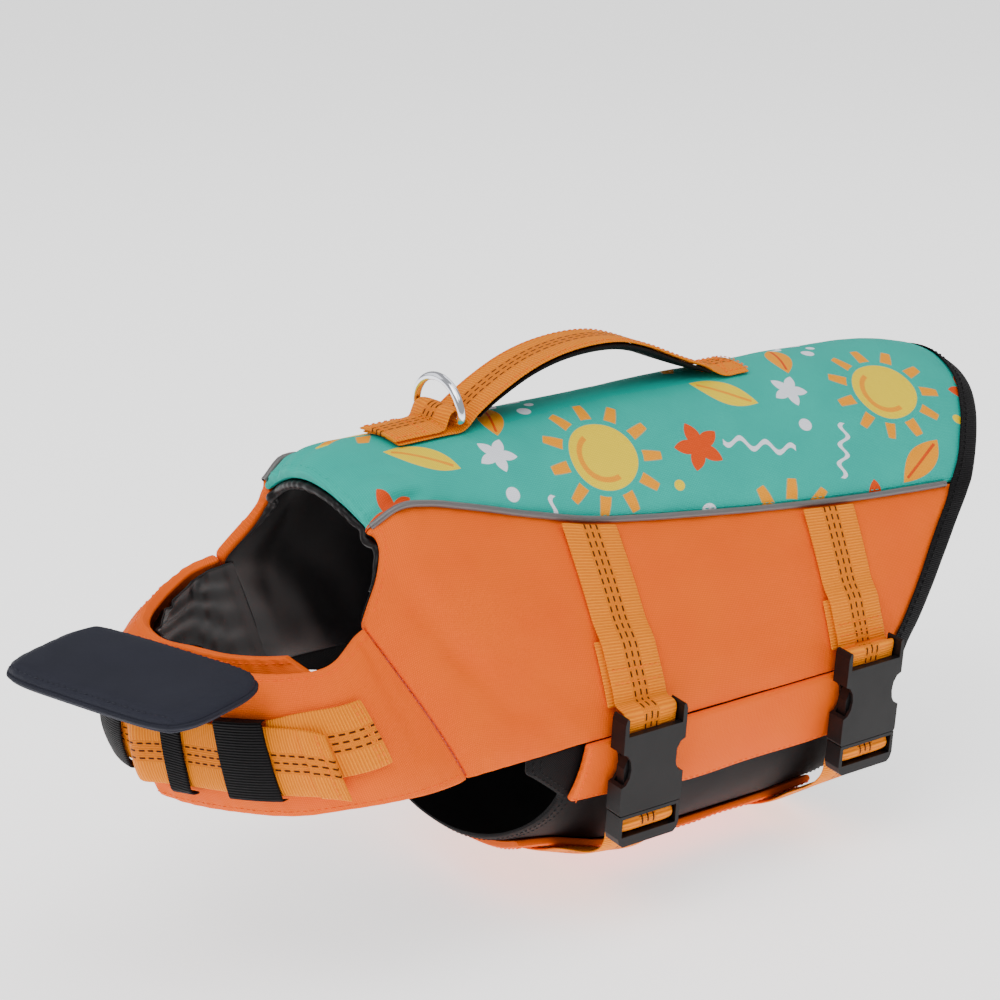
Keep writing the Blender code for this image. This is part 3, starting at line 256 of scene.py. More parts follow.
SIDE_CREASES = (
    Crease(2, 22, 12, 44, 5.5, 1.5), Crease(9, 40, 24, 66, 6, 1.9),
    Crease(20, 60, 38, 84, 5, 1), Crease(-6, 12, 20, 20, 5, 0.8),
    Crease(34, 30, 60, 52, 11, -0.7), Crease(70, 84, 124, 80, 8, 0.6),
    Crease(112, 64, 150, 76, 9, 0.5), Crease(120, 22, 176, 30, 12, -0.5),
    Crease(146, 90, 186, 84, 7, 0.6), Crease(216, 60, 236, 76, 8, 0.8),
    Crease(222, 30, 262, 18, 10, 0.6), Crease(230, 66, 246, 46, 7, -0.5),
    Crease(40, 78, 62, 94, 7, 0.7),
)
WING_CREASES = (
    Crease(6, 8, 10, 44, 4, 0.9), Crease(22, 2, 24, 18, 4, 0.5),
    Crease(40, 1, 46, 15, 4, 0.5), Crease(62, 1, 62, 14, 4, 0.5),
    Crease(30, 40, 60, 46, 7, 0.6), Crease(82, 42, 120, 40, 7, 0.6),
    Crease(88, 1, 92, 16, 4, 0.6), Crease(112, 2, 112, 16, 4, 0.5),
)
LINING_CREASES = (
    Crease(8, -60, 60, -20, 8, 1.2), Crease(20, 40, 84, 20, 9, 1.3),
    Crease(60, -90, 120, -70, 10, 1.2), Crease(10, 80, 40, 120, 7, 1.3),
    Crease(50, 90, 70, 130, 9, 1.2), Crease(130, -30, 200, 10, 12, 1.3),
    Crease(160, 60, 230, 90, 10, 1.2), Crease(10, 10, 46, 0, 6, 1),
)


# ---------- small geometry
def smooth(places: Sequence[float], values: Sequence[float], at: np.ndarray) -> np.ndarray:
    """Cubic curve through the values, read at the given places."""
    places = np.asarray(places, float)
    values = np.asarray(values, float)
    at = np.clip(np.asarray(at, float), places[0], places[-1])
    slopes = np.gradient(values, places)
    i = np.clip(np.searchsorted(places, at, side="right") - 1, 0, len(places) - 2)
    step = places[i + 1] - places[i]
    t = (at - places[i]) / step
    return (
        (2 * t**3 - 3 * t**2 + 1) * values[i]
        + (t**3 - 2 * t**2 + t) * step * slopes[i]
        + (-2 * t**3 + 3 * t**2) * values[i + 1]
        + (t**3 - t**2) * step * slopes[i + 1]
    )


def arrays(*values: object) -> list[np.ndarray]:
    """The values as arrays of numbers that share one shape."""
    return np.broadcast_arrays(*(np.asarray(value, float) for value in values))


def column(rows: Sequence[NamedTuple], name: str, at: np.ndarray) -> np.ndarray:
    """One named column of a table, read as a smooth curve along its x column."""
    return smooth([row.x for row in rows], [getattr(row, name) for row in rows], at)


def unit(vectors: np.ndarray) -> np.ndarray:
    """The vectors at length one."""
    vectors = np.asarray(vectors, float)
    return vectors / np.maximum(np.linalg.norm(vectors, axis=-1, keepdims=True), 1e-9)


def lerp(a: np.ndarray, b: np.ndarray, t: float) -> np.ndarray:
    """Straight blend from a to b."""
    return np.asarray(a) * (1 - t) + np.asarray(b) * t


def spread(count: int, pull: float = 0.75) -> np.ndarray:
    """Shares from 0 to 1 that lie closer together towards both ends."""
    t = np.linspace(0.0, 1.0, count)
    return t - pull * np.sin(2 * math.pi * t) / (2 * math.pi)


def grid_normals(grid: np.ndarray) -> np.ndarray:
    """Unit normals of a grid of places."""
    return unit(np.cross(np.gradient(grid, axis=0), np.gradient(grid, axis=1)))


def outward(grid: np.ndarray, inside: Sequence[float] = (60.0, 0.0, 15.0)) -> np.ndarray:
    """Unit normals of a grid, turned away from a place inside the jacket."""
    normals = grid_normals(grid)
    away = np.sum(normals * (grid - np.array(inside)))
    return normals if away > 0 else -normals


def arcs(grid: np.ndarray, axis: int) -> np.ndarray:
    """Distance along one axis of a grid, from its first line."""
    steps = np.linalg.norm(np.diff(grid, axis=axis), axis=-1)
    start = np.zeros_like(np.take(steps, [0], axis=axis))
    return np.concatenate([start, np.cumsum(steps, axis=axis)], axis=axis)


def length_of(path: np.ndarray) -> float:
    """Length of a line through places."""
    return float(np.linalg.norm(np.diff(path, axis=0), axis=1).sum())


def smooth_path(points: Sequence[Sequence[float]], count: int) -> np.ndarray:
    """A smooth curve through points, as evenly spaced places."""
    points = np.asarray(points, float)
    run = arcs(points, 0)
    fine = np.linspace(0.0, run[-1], 20 * len(points))
    path = np.stack([smooth(run, points[:, k], fine) for k in range(3)], axis=1)
    run = arcs(path, 0)
    at = np.linspace(0.0, run[-1], count)
    return np.stack([np.interp(at, run, path[:, k]) for k in range(3)], axis=1)


def rumple(u: np.ndarray, v: np.ndarray, scale: float, seed: int) -> np.ndarray:
    """Slow, uneven hills of height about one, as a sum of waves in turned directions.

    Args:
        u: Places along the cloth, in millimetres.
        v: Places across the cloth, in millimetres.
        scale: Typical distance between two hills.
        seed: Picks another pattern.

    Returns:
        Heights from about -1 to 1.
    """
    rng = np.random.default_rng(seed)
    height = np.zeros(np.broadcast(u, v).shape)
    for _ in range(9):
        turn, phase, pitch = rng.uniform(0, math.pi), rng.uniform(0, 6.28), rng.uniform(0.7, 1.9)
        reach = 2 * math.pi / (scale * pitch)
        height += np.sin((u * math.cos(turn) + v * math.sin(turn)) * reach + phase)
    return height / 4.0


def pressed(u: np.ndarray, v: np.ndarray, creases: Sequence[Crease]) -> np.ndarray:
    """How deep the creases press at each place, in millimetres."""
    depth = np.zeros(np.broadcast(u, v).shape)
    for crease in creases:
        run = np.array([crease.u1 - crease.u0, crease.v1 - crease.v0])
        length = float(np.hypot(*run))
        along = ((u - crease.u0) * run[0] + (v - crease.v0) * run[1]) / length
        off = ((u - crease.u0) * -run[1] + (v - crease.v0) * run[0]) / length
        off = off + 0.9 * np.sin(along / 7.0 + crease.u0)
        beyond = np.maximum(np.maximum(-along, along - length), 0.0)
        depth += crease.depth * np.exp(-(off / crease.width) ** 2 - (beyond / crease.width) ** 2)
    return depth


# ---------- surfaces of the jacket
def worn_at() -> np.ndarray:
    """The inner face of the back panel at mid length, on the spine: the row's origin."""
    x = 0.5 * (BACK_FRONT_X + BACK_REAR_X)
    inner = BACK_THICK + LINING_GAP + LINING
    return np.array([x, 0.0, float(column(STATIONS, "ridge_z", x)) - inner])


def to_row(points: np.ndarray) -> np.ndarray:
    """Places in the tailor's frame, brought into the row's frame in metres."""
    return (np.asarray(points, float) - worn_at()) * MM


def back_point(x: np.ndarray, a: np.ndarray) -> np.ndarray:
    """Outer face of the back panel: a is -1 at the left piping and 1 at the right one."""
    x, a = arrays(x, a)
    ridge = column(STATIONS, "ridge_z", x)
    y = column(STATIONS, "seam_y", x) * a
    return np.stack([x, y, ridge - (ridge - column(STATIONS, "seam_z", x)) * a * a], axis=-1)


def side_point(x: np.ndarray, b: np.ndarray, side: float) -> np.ndarray:
    """Outer face of a side panel: b is 0 at the piping and 1 at the belly seam."""
    x, b = arrays(x, b)
    seam_y, seam_z = column(STATIONS, "seam_y", x), column(STATIONS, "seam_z", x)
    down_y, down_z = HIP_Y - seam_y, HIP_Z - seam_z
    length = np.hypot(down_y, down_z)
    high = column(STATIONS, "full_high", x) * b * (1 - b) ** 2
    low = column(STATIONS, "full_low", x) * b * b * (1 - b)
    full = 27.0 / 4.0 * (high + low)
    y = seam_y + down_y * b - down_z / length * full
    z = seam_z + down_z * b + down_y / length * full
    return np.stack([x, side * y, z], axis=-1)


def side_normals(x: np.ndarray, b: np.ndarray, side: float) -> np.ndarray:
    """Outward normals of a side panel down a line at one x."""
    small = 0.01
    down = side_point(x, b + small, side) - side_point(x, b - small, side)
    normals = unit(np.cross(down, (1.0, 0.0, 0.0)))
    return normals * np.sign(normals[..., 1:2]) * side


def belly_point(x: np.ndarray, turn: np.ndarray, inset: float) -> np.ndarray:
    """Belly curve: turn is 0 at the left belly seam and 180 degrees at the right one."""
    x, turn = arrays(x, turn)
    depth = column(BELLIES, "depth", x) - inset
    angle = np.radians(turn)
    return np.stack([x, -(HIP_Y - inset) * np.cos(angle), HIP_Z - depth * np.sin(angle)], axis=-1)


def belly_out(x: float, turn: float, lift: float) -> np.ndarray:
    """A place off the belly curve, lifted outwards."""
    small = 0.5
    point = belly_point(x, turn, 0.0)
    along = belly_point(x, turn + small, 0.0) - belly_point(x, turn - small, 0.0)
    out = unit(np.cross(along, (1.0, 0.0, 0.0)))
    out = out * np.sign(np.dot(out, point - np.array([x, 0.0, HIP_Z])))
    return point + out * lift


def dart_point(depth: np.ndarray, side: float) -> np.ndarray:
    """Seam between a side panel and its chest wing, by the share of its depth."""
    b = DART_TOP_B + (1 - DART_TOP_B) * np.asarray(depth, float)
    x = DART_TOP_X + (DART_LOW_X - DART_TOP_X) * np.asarray(depth, float)
    return side_point(x, b, side)


def dart_normals(depth: np.ndarray, side: float) -> np.ndarray:
    """Direction out of the dart seam, by the share of its depth."""
    b = DART_TOP_B + (1 - DART_TOP_B) * np.asarray(depth, float)
    x = DART_TOP_X + (DART_LOW_X - DART_TOP_X) * np.asarray(depth, float)
    normals = side_normals(x, b, side)
    normals[..., 0] -= 0.25
    return unit(normals)


def piping_normals(x: np.ndarray, side: float) -> np.ndarray:
    """Direction out of the seam under the piping."""
    slope = 2 * (column(STATIONS, "ridge_z", x) - column(STATIONS, "seam_z", x))
    back = unit(np.stack([0 * x, side * slope, column(STATIONS, "seam_y", x)], axis=-1))
    down = side_point(x, 0.05, side) - side_point(x, 0.0, side)
    flank = unit(np.cross(down, (1.0, 0.0, 0.0)))
    return unit(back + flank * np.sign(flank[..., 1:2]) * side)


def wing_point(ribs: Sequence[Rib], rib: np.ndarray, depth: np.ndarray) -> np.ndarray:
    """Outer face of a chest wing at a rib number and a share of its depth."""
    rib, depth = arrays(rib, depth)
    number = np.arange(len(ribs))

    def edge(prefix: str, at: np.ndarray) -> np.ndarray:
        names = [prefix + axis for axis in ("_x", "_y", "_z")]
        return np.stack([smooth(number, [getattr(r, n) for r in ribs], at) for n in names], axis=-1)

    small = 0.05
    ahead = edge("top", rib + small) + edge("low", rib + small)
    ahead = ahead - edge("top", rib - small) - edge("low", rib - small)
    side = math.copysign(1.0, ribs[0].top_y)
    out = unit(np.stack([side * ahead[..., 1], -side * ahead[..., 0], 0 * ahead[..., 0]], axis=-1))
    out = out * np.clip(rib / 1.4, 0.0, 1.0)[..., None]
    full = smooth(number, [r.full for r in ribs], rib) * 4 * depth * (1 - depth)
    share = depth[..., None]
    point = edge("top", rib) * (1 - share) + edge("low", rib) * share + out * full[..., None]
    at_dart = np.clip(1 - rib / 1.4, 0.0, 1.0) ** 2
    first = edge("top", 0 * rib) * (1 - share) + edge("low", 0 * rib) * share
    return point + (dart_point(depth, side) - first) * at_dart[..., None]


def back_front_x(a: np.ndarray) -> np.ndarray:
    """Neck edge of the back panel."""
    return BACK_FRONT_X * (1 - np.asarray(a) ** 2)


def back_rear_x(a: np.ndarray) -> np.ndarray:
    """Rear hem of the back panel."""
    return BACK_REAR_X - (BACK_REAR_X - HEM_SEAM_X) * np.abs(a) ** 2.2


def side_front_x(b: np.ndarray) -> np.ndarray:
    """Neck edge and dart seam of a side panel."""
    b = np.asarray(b, float)
    neck = smooth([0.0, 0.08, 0.16, 0.25, DART_TOP_B], [0.0, 0.8, -1.8, -7.5, DART_TOP_X], b)
    dart = DART_TOP_X + (DART_LOW_X - DART_TOP_X) * (b - DART_TOP_B) / (1 - DART_TOP_B)
    return np.where(b < DART_TOP_B, neck, dart)


def side_rear_x(b: np.ndarray) -> np.ndarray:
    """Rear hem of a side panel."""
    return lerp(HEM_SEAM_X, HEM_HIP_X, np.asarray(b, float))


# ---------- finishes
class Ink(Enum):
    """Colours of the print and of the plain stuffs, as linear light."""

    TEAL = (0.012, 0.50, 0.40)
    TEAL_SHADE = (0.008, 0.42, 0.345)
    YELLOW = (0.98, 0.70, 0.012)
    AMBER = (1.0, 0.36, 0.004)
    ACCENT = (0.80, 0.075, 0.004)
    CHALK = (0.90, 0.92, 1.0)
    ORANGE = (1.0, 0.145, 0.0)
    ORANGE_SHADE = (0.96, 0.115, 0.0)
    WEB = (1.0, 0.290, 0.0)
    # painted shade: the orange webbing's colour in its rib troughs
    WEB_SHADE = (0.66, 0.115, 0.0)
    TRACER = (0.055, 0.010, 0.002)
    BLACK = (0.0055, 0.0048, 0.0055)
    # a darker tone of the black cloths and the lining, and the black webbing's painted shade in its rib
    # troughs
    BLACK_SHADE = (0.0022, 0.0019, 0.0022)
    LINING = (0.0036, 0.0024, 0.0031)
    SLATE = (0.024, 0.025, 0.037)
    SLATE_SHADE = (0.014, 0.015, 0.023)
    GREY = (0.115, 0.105, 0.105)
    PLASTIC = (0.0065, 0.0058, 0.0060)
    FLOOR = (0.93, 0.93, 0.93)


class Motif(Enum):
    """What one figure of the print is."""

    SUN = "sun"
    STAR = "star"
    WAVE = "wave"
    LEAF = "leaf"
    DROP = "drop"


class Figure(NamedTuple):
    """One figure in the print's repeat: its middle, size and turn, in mm and degrees."""

    motif: Motif
    u: float
    v: float
    size: float
    turn: float
    ink: Ink
    second: Ink = Ink.AMBER


REPEAT_U, REPEAT_V = 146.0, 118.0
PRINT = (
    Figure(Motif.SUN, 38, 24, 29, 8, Ink.YELLOW),
    Figure(Motif.SUN, 112, 82, 26, 20, Ink.YELLOW),
    Figure(Motif.STAR, 84, 30, 11, 12, Ink.ACCENT),
    Figure(Motif.STAR, 134, 36, 8, 40, Ink.CHALK),
    Figure(Motif.STAR, 66, 92, 8.5, -20, Ink.CHALK),
    Figure(Motif.STAR, 10, 76, 11.5, 25, Ink.ACCENT),
    Figure(Motif.WAVE, 100, 10, 20, 14, Ink.CHALK),
    Figure(Motif.WAVE, 38, 70, 17, -22, Ink.CHALK),
    Figure(Motif.WAVE, 76, 58, 14, 62, Ink.CHALK),
    Figure(Motif.LEAF, 112, 44, 15, 35, Ink.AMBER, Ink.ACCENT),
    Figure(Motif.LEAF, 36, 98, 15, -35, Ink.YELLOW),
    Figure(Motif.LEAF, 76, 112, 12, 70, Ink.AMBER, Ink.ACCENT),
    Figure(Motif.DROP, 4, 48, 3.4, 0, Ink.CHALK),
    Figure(Motif.DROP, 92, 112, 2.8, 0, Ink.CHALK),
    Figure(Motif.DROP, 98, 117, 1.9, 0, Ink.CHALK),
    Figure(Motif.DROP, 64, 74, 3, 0, Ink.CHALK),
    Figure(Motif.DROP, 140, 62, 2.4, 0, Ink.YELLOW),
    Figure(Motif.DROP, 12, 12, 2.6, 0, Ink.YELLOW),
)


class Graph:
    """A material's nodes, put together one value at a time."""

    def __init__(self, name: str) -> None:
        """Starts a material of that name with the standard shader."""
        self.material = bpy.data.materials.new(name)
        self.material.use_nodes = True
        self.tree = self.material.node_tree
        self.shader = self.tree.nodes["Principled BSDF"]

    def node(self, kind: str, **settings: object) -> bpy.types.Node:
        """Adds a node and sets its properties."""
        made = self.tree.nodes.new(kind)
        for key, value in settings.items():
            setattr(made, key, value)
        return made

    def feed(self, socket: Socket, value: object) -> None:
        """Links a socket into another, or sets a constant on it."""
        if isinstance(value, Socket):
            self.tree.links.new(value, socket)
        elif isinstance(value, Ink):
            socket.default_value = (*value.value, 1.0)
        else:
            socket.default_value = value

    def math(self, operation: str, *values: object, clamp: bool = False) -> Socket:
        """One sum on numbers or sockets."""
        made = self.node("ShaderNodeMath", operation=operation, use_clamp=clamp)
        for socket, value in zip(made.inputs, values):
            self.feed(socket, value)
        return made.outputs[0]

    def mix(self, share: object, low: object, high: object) -> Socket:
        """Blends two colours."""
        made = self.node("ShaderNodeMix", data_type="RGBA")
        for index, value in ((0, share), (6, low), (7, high)):
            self.feed(made.inputs[index], value)
        return made.outputs[2]

    def uv(self) -> tuple[Socket, Socket]:
        """The piece's own millimetres, along and across."""
        split = self.node("ShaderNodeSeparateXYZ")
        self.feed(split.inputs[0], self.node("ShaderNodeUVMap", uv_map=UV_NAME).outputs[0])
        return split.outputs[0], split.outputs[1]

    def noise(self, scale: float, detail: float = 2.0, solid: bool = False) -> Socket:
        """Noise over the piece, in hills per millimetre, or per metre through its solid."""
        made = self.node("ShaderNodeTexNoise")
        if solid:
            place = self.node("ShaderNodeTexCoord").outputs["Object"]
        else:
            place = self.node("ShaderNodeUVMap", uv_map=UV_NAME).outputs[0]
        self.feed(made.inputs["Vector"], place)
        self.feed(made.inputs["Scale"], scale)
        self.feed(made.inputs["Detail"], detail)
        return made.outputs["Fac"]

    def wave(self, value: object, pitch: float) -> Socket:
        """A wave from 0 to 1 that repeats every pitch millimetres."""
        turn = self.math("MULTIPLY", value, 2 * math.pi / pitch)
        return self.math("MULTIPLY_ADD", self.math("SINE", turn), 0.5, 0.5)

    def below(self, value: object, limit: object, soft: float) -> Socket:
        """1 where the value is below the limit and 0 above it, over a soft edge."""
        gap = self.math("SUBTRACT", limit, value)
        return self.math("MULTIPLY_ADD", gap, 1.0 / soft, 0.5, clamp=True)

    def span(self, value: object, low: float, high: float) -> Socket:
        """The value moved from 0..1 to low..high."""
        return self.math("MULTIPLY_ADD", value, high - low, low)

    def bump(self, height: object, distance: float, strength: float = 1.0) -> None:
        """Raises the surface by a height of 0 to 1 times a distance in millimetres."""
        made = self.node("ShaderNodeBump")
        self.feed(made.inputs["Strength"], strength)
        self.feed(made.inputs["Distance"], distance * MM)
        self.feed(made.inputs["Height"], height)
        self.feed(self.shader.inputs["Normal"], made.outputs[0])

    def finish(self, **values: object) -> bpy.types.Material:
        """Sets the shader's inputs, with underscores for the spaces in their names."""
        for key, value in values.items():
            self.feed(self.shader.inputs[key.replace("_", " ")], value)
        return self.material


@dataclass(frozen=True)
class WovenCloth:
    """Plain woven cloth: two tones, the pitch of its threads and its shine, with painted shade and
    highlight on its weave.
    """

    name: str
    base: Ink
    shade: Ink
    pitch: float = 0.75
    relief: float = 0.09
    rough: float = 0.62
    shine: float = 0.12
    printed: bool = False

    def make(self) -> bpy.types.Material:
        """Builds the material.

        Returns:
            A material that reads the piece's own UV map in millimetres.
        """
        graph = Graph(self.name)
        u, v = graph.uv()
        weft, warp = graph.wave(u, self.pitch), graph.wave(v, self.pitch)
        weave = graph.math("MULTIPLY", weft, warp)
        patchy = graph.noise(0.035, 3.0)
        colour = graph.mix(graph.span(patchy, -0.4, 1.2), self.base, self.shade)
        if self.printed:
            colour = printed_over(graph, colour)
        # painted shade and highlight: the colour is darkened to 0.84 in the hollows between the threads
        # and brightened to 1.08 where they cross
        weave_light_and_shade = graph.node("ShaderNodeHueSaturation")
        graph.feed(weave_light_and_shade.inputs["Value"], graph.span(weave, 0.84, 1.08))
        graph.feed(weave_light_and_shade.inputs["Color"], colour)
        slub = graph.noise(1.4, 2.0)
        height = graph.math("ADD", weave, graph.math("MULTIPLY", slub, 0.6))
        graph.bump(height, self.relief)
        rough = graph.span(slub, self.rough - 0.06, self.rough + 0.06)
        return graph.finish(Base_Color=weave_light_and_shade.outputs[0], Roughness=rough, Specular_IOR_Level=self.shine)


def wrapped(graph: Graph, value: Socket, middle: float,
            repeat: float) -> Socket:
    """Distance from the nearest repeat of a middle, from minus to plus half a repeat."""
    return graph.math("WRAP", graph.math("SUBTRACT", value, middle), repeat / 2, -repeat / 2)


def figure_masks(graph: Graph, figure: Figure, x: object, y: object) -> list[tuple[Ink, object]]:
    """The shapes of one figure as masks with their inks, in its own turned frame at size 1."""
    soft = 0.35 / figure.size
    squares = graph.math("ADD", graph.math("MULTIPLY", x, x), graph.math("MULTIPLY", y, y))
    reach = graph.math("SQRT", squares)
    if figure.motif is Motif.DROP:
        return [(figure.ink, graph.below(reach, 1.0, soft))]
    if figure.motif is Motif.LEAF:
        half = graph.math("MULTIPLY_ADD", graph.math("MULTIPLY", x, x), -0.42, 0.42)
        blade = graph.below(graph.math("ABSOLUTE", y), half, soft)
        vein = graph.below(graph.math("ABSOLUTE", y), 0.045, soft)
        inside = graph.below(graph.math("ABSOLUTE", x), 0.8, soft)
        vein = graph.math("MULTIPLY", vein, inside)
        return [(figure.ink, blade), (figure.second, vein)]
    if figure.motif is Motif.WAVE:
        crest = graph.math("MULTIPLY", graph.math("SINE", graph.math("MULTIPLY", x, 9.0)), 0.13)
        off = graph.math("ABSOLUTE", graph.math("SUBTRACT", y, crest))
        line = graph.below(off, 0.075, soft)
        inside = graph.below(graph.math("ABSOLUTE", x), 1.0, soft)
        return [(figure.ink, graph.math("MULTIPLY", line, inside))]
    turn = graph.math("ARCTAN2", y, x)
    points = 5 if figure.motif is Motif.STAR else 11
    share = graph.math("MULTIPLY", turn, points / (2 * math.pi))
    off = graph.math("ABSOLUTE", graph.math("WRAP", share, 0.5, -0.5))
    if figure.motif is Motif.STAR:
        edge = graph.math("MULTIPLY_ADD", off, -1.05, 1.0)
        return [(figure.ink, graph.below(reach, edge, soft))]
    ray = graph.below(off, graph.math("MULTIPLY_ADD", reach, -0.40, 0.52), 0.05)
    ray = graph.math("MULTIPLY", ray, graph.below(reach, 1.0, soft))
    ray = graph.math("MULTIPLY", ray, graph.below(0.68, reach, soft))
    disc = graph.below(reach, 0.58, soft)
    swirl = graph.math("ABSOLUTE", graph.math("SUBTRACT", reach, 0.40))
    swirl = graph.math("MULTIPLY", graph.below(swirl, 0.045, soft), graph.below(x, -0.02, soft))
    return [(figure.ink, disc), (figure.second, swirl), (figure.second, ray)]


def printed_over(graph: Graph, ground: Socket) -> Socket:
    """The print's figures laid over the ground colour."""
    u, v = graph.uv()
    colour = ground
    for figure in PRINT:
        du = wrapped(graph, u, figure.u, REPEAT_U)
        dv = wrapped(graph, v, figure.v, REPEAT_V)
        cos, sin = (f(math.radians(figure.turn)) / figure.size for f in (math.cos, math.sin))
        x = graph.math("ADD", graph.math("MULTIPLY", du, cos), graph.math("MULTIPLY", dv, sin))
        y = graph.math("SUBTRACT", graph.math("MULTIPLY", dv, cos), graph.math("MULTIPLY", du, sin))
        for ink, mask in figure_masks(graph, figure, x, y):
            colour = graph.mix(mask, colour, ink)
    return colour


@dataclass(frozen=True)
class Webbing:
    """Ribbed webbing with painted shade in its rib troughs, and three rows of tracer threads where it is
    the orange one.
    """

    name: str
    base: Ink
    shade: Ink
    tracer: bool = False
    tracer_reach: float = 3.9
    pitch: float = 1.15
    rough: float = 0.6

    def make(self) -> bpy.types.Material:
        """Builds the material; u runs across the webbing from its middle and v along it."""
        graph = Graph(self.name)
        u, v = graph.uv()
        off = graph.math("ABSOLUTE", u)
        middle = graph.below(off, self.tracer_reach if self.tracer else -1.0, 0.4)
        rib = graph.wave(v, self.pitch)
        check = graph.math("MULTIPLY", graph.wave(v, self.pitch / 2), graph.wave(u, 0.9))
        ribbed = graph.math("MULTIPLY", graph.span(middle, 1.0, 0.0), rib)
        height = graph.math("ADD", ribbed, graph.math("MULTIPLY", middle, check))
        worn = graph.noise(0.9, 3.0)
        # painted shade: the colour runs towards the shade ink in the rib troughs, where the height is
        # low; the random wear noise is added on top
        share = graph.math("MULTIPLY_ADD", height, -0.62, 0.62)
        share = graph.math("ADD", share, graph.span(worn, -0.12, 0.12), clamp=True)
        colour = graph.mix(share, self.base, self.shade)
        if self.tracer:
            for row, shift in ((-2.7, 0.0), (0.0, 1.1), (2.7, 2.0)):
                line = graph.below(graph.math("ABSOLUTE", graph.math("SUBTRACT", u, row)), 0.36, 0.2)
                place = graph.math("FRACT", graph.math("MULTIPLY_ADD", v, 1 / 3.6, shift))
                dash = graph.math("MULTIPLY", line, graph.below(place, 0.62, 0.12))
                colour = graph.mix(dash, colour, Ink.TRACER)
        graph.bump(height, 0.28)
        rough = graph.span(worn, self.rough - 0.08, self.rough + 0.08)
        return graph.finish(Base_Color=colour, Roughness=rough, Specular_IOR_Level=0.12)


@dataclass(frozen=True)
class Twill:
    """Cloth with a diagonal rib, such as the float's and the lining's."""

    name: str
    base: Ink
    shade: Ink
    pitch: float = 0.8
    relief: float = 0.05
    rough: float = 0.55
    shine: float = 0.12

    def make(self) -> bpy.types.Material:
        """Builds the material."""
        graph = Graph(self.name)
        u, v = graph.uv()
        rib = graph.wave(graph.math("ADD", u, v), self.pitch)
        patchy = graph.noise(0.05, 3.0)
        share = graph.math("MULTIPLY_ADD", rib, 0.3, graph.span(patchy, -0.1, 0.7), clamp=True)
        fuzz = graph.noise(2.2, 2.0)
        graph.bump(graph.math("ADD", rib, fuzz), self.relief)
        rough = graph.span(fuzz, self.rough - 0.08, self.rough + 0.08)
        return graph.finish(Base_Color=graph.mix(share, self.base, self.shade), Roughness=rough,
                            Specular_IOR_Level=self.shine)


@dataclass(frozen=True)
class Moulded:
    """Hard stuff: moulded plastic with a fine grain, or plated wire."""

    name: str
    base: Ink
    rough: float
    metal: float = 0.0
    grain: float = 0.02

    def make(self) -> bpy.types.Material:
        """Builds the material, with its grain through the solid."""
        graph = Graph(self.name)
        grain = graph.noise(2600.0, 2.0, solid=True)
        smudge = graph.noise(90.0, 3.0, solid=True)
        graph.bump(grain, self.grain)
        rough = graph.span(smudge, self.rough * 0.75, self.rough * 1.3)
        other = Ink.CHALK if self.metal else Ink.BLACK
        colour = graph.mix(graph.span(smudge, 0.0, 0.25), self.base, other)
        return graph.finish(
            Base_Color=colour, Roughness=rough, Metallic=self.metal, Specular_IOR_Level=0.20)


@dataclass(frozen=True)
class Thread:
    """Twisted sewing thread."""

    name: str
    base: Ink
    shade: Ink

    def make(self) -> bpy.types.Material:
        """Builds the material, mottled so that each stitch differs."""
        graph = Graph(self.name)
        mottle = graph.noise(900.0, 2.0, solid=True)
        return graph.finish(Base_Color=graph.mix(mottle, self.base, self.shade), Roughness=0.55,
                            Specular_IOR_Level=0.15)


class Stuff(Enum):
    """Every finish of the jacket, with the record's slot that it belongs to."""

    PRINTED = ("printed_cloth", WovenCloth("cloth_printed", Ink.TEAL, Ink.TEAL_SHADE, printed=True))
    ORANGE = ("orange_cloth", WovenCloth("cloth_orange", Ink.ORANGE, Ink.ORANGE_SHADE))
    BLACK = ("black_cloth", Twill("cloth_black", Ink.BLACK, Ink.BLACK_SHADE, 1.1, 0.10, 0.6))
    LINING = ("lining", Twill("satin_lining", Ink.LINING, Ink.BLACK_SHADE, 0.5, 0.02, 0.40, 0.22))
    WEB = ("orange_webbing", Webbing("webbing_orange", Ink.WEB, Ink.WEB_SHADE, tracer=True))
    BLACK_WEB = ("black_webbing", Webbing("webbing_black", Ink.BLACK, Ink.BLACK_SHADE, pitch=1.0))
    PIPING = ("reflective_piping", Twill("piping_grey", Ink.GREY, Ink.GREY, 0.9, 0.04, 0.32, 0.7))
    FLOAT = ("float_cloth", Twill("cloth_slate", Ink.SLATE, Ink.SLATE_SHADE, 0.6, 0.04, 0.6))
    PLASTIC = ("buckle_plastic", Moulded("plastic_black", Ink.PLASTIC, 0.42))
    CHROME = ("chrome", Moulded("plated_wire", Ink.CHALK, 0.10, 1.0, 0.0))
    THREAD_ORANGE = ("orange_webbing", Thread("thread_orange", Ink.WEB, Ink.ORANGE_SHADE))
    THREAD_CLOTH = ("orange_cloth", Thread("thread_cloth", Ink.ORANGE, Ink.ORANGE_SHADE))
    THREAD_BLACK = ("black_cloth", Thread("thread_black", Ink.BLACK, Ink.PLASTIC))
    THREAD_TEAL = ("printed_cloth", Thread("thread_teal", Ink.TEAL_SHADE, Ink.TEAL))
    THREAD_SLATE = ("float_cloth", Thread("thread_slate", Ink.SLATE_SHADE, Ink.SLATE))

    @property
    def slot(self) -> str:
        """The record's material slot."""
        return self.value[0]

    @property
    def material(self) -> bpy.types.Material:
        """The finish, made once."""
        finish = self.value[1]
        return bpy.data.materials.get(finish.name) or finish.make()


# ---------- turning into pieces
@dataclass
class Cut:
    """The flat cut of a sheet: its width, length and area, in metres."""

    width: float
    length: float
    area: float

    @classmethod
    def rolled(cls, around: float, run: float) -> "Cut":
        """The cut of a cloth rolled into a tube, from its millimetres round and along it."""
        return cls(max(around, NARROWEST) * MM, run * MM, around * run * MM * MM)


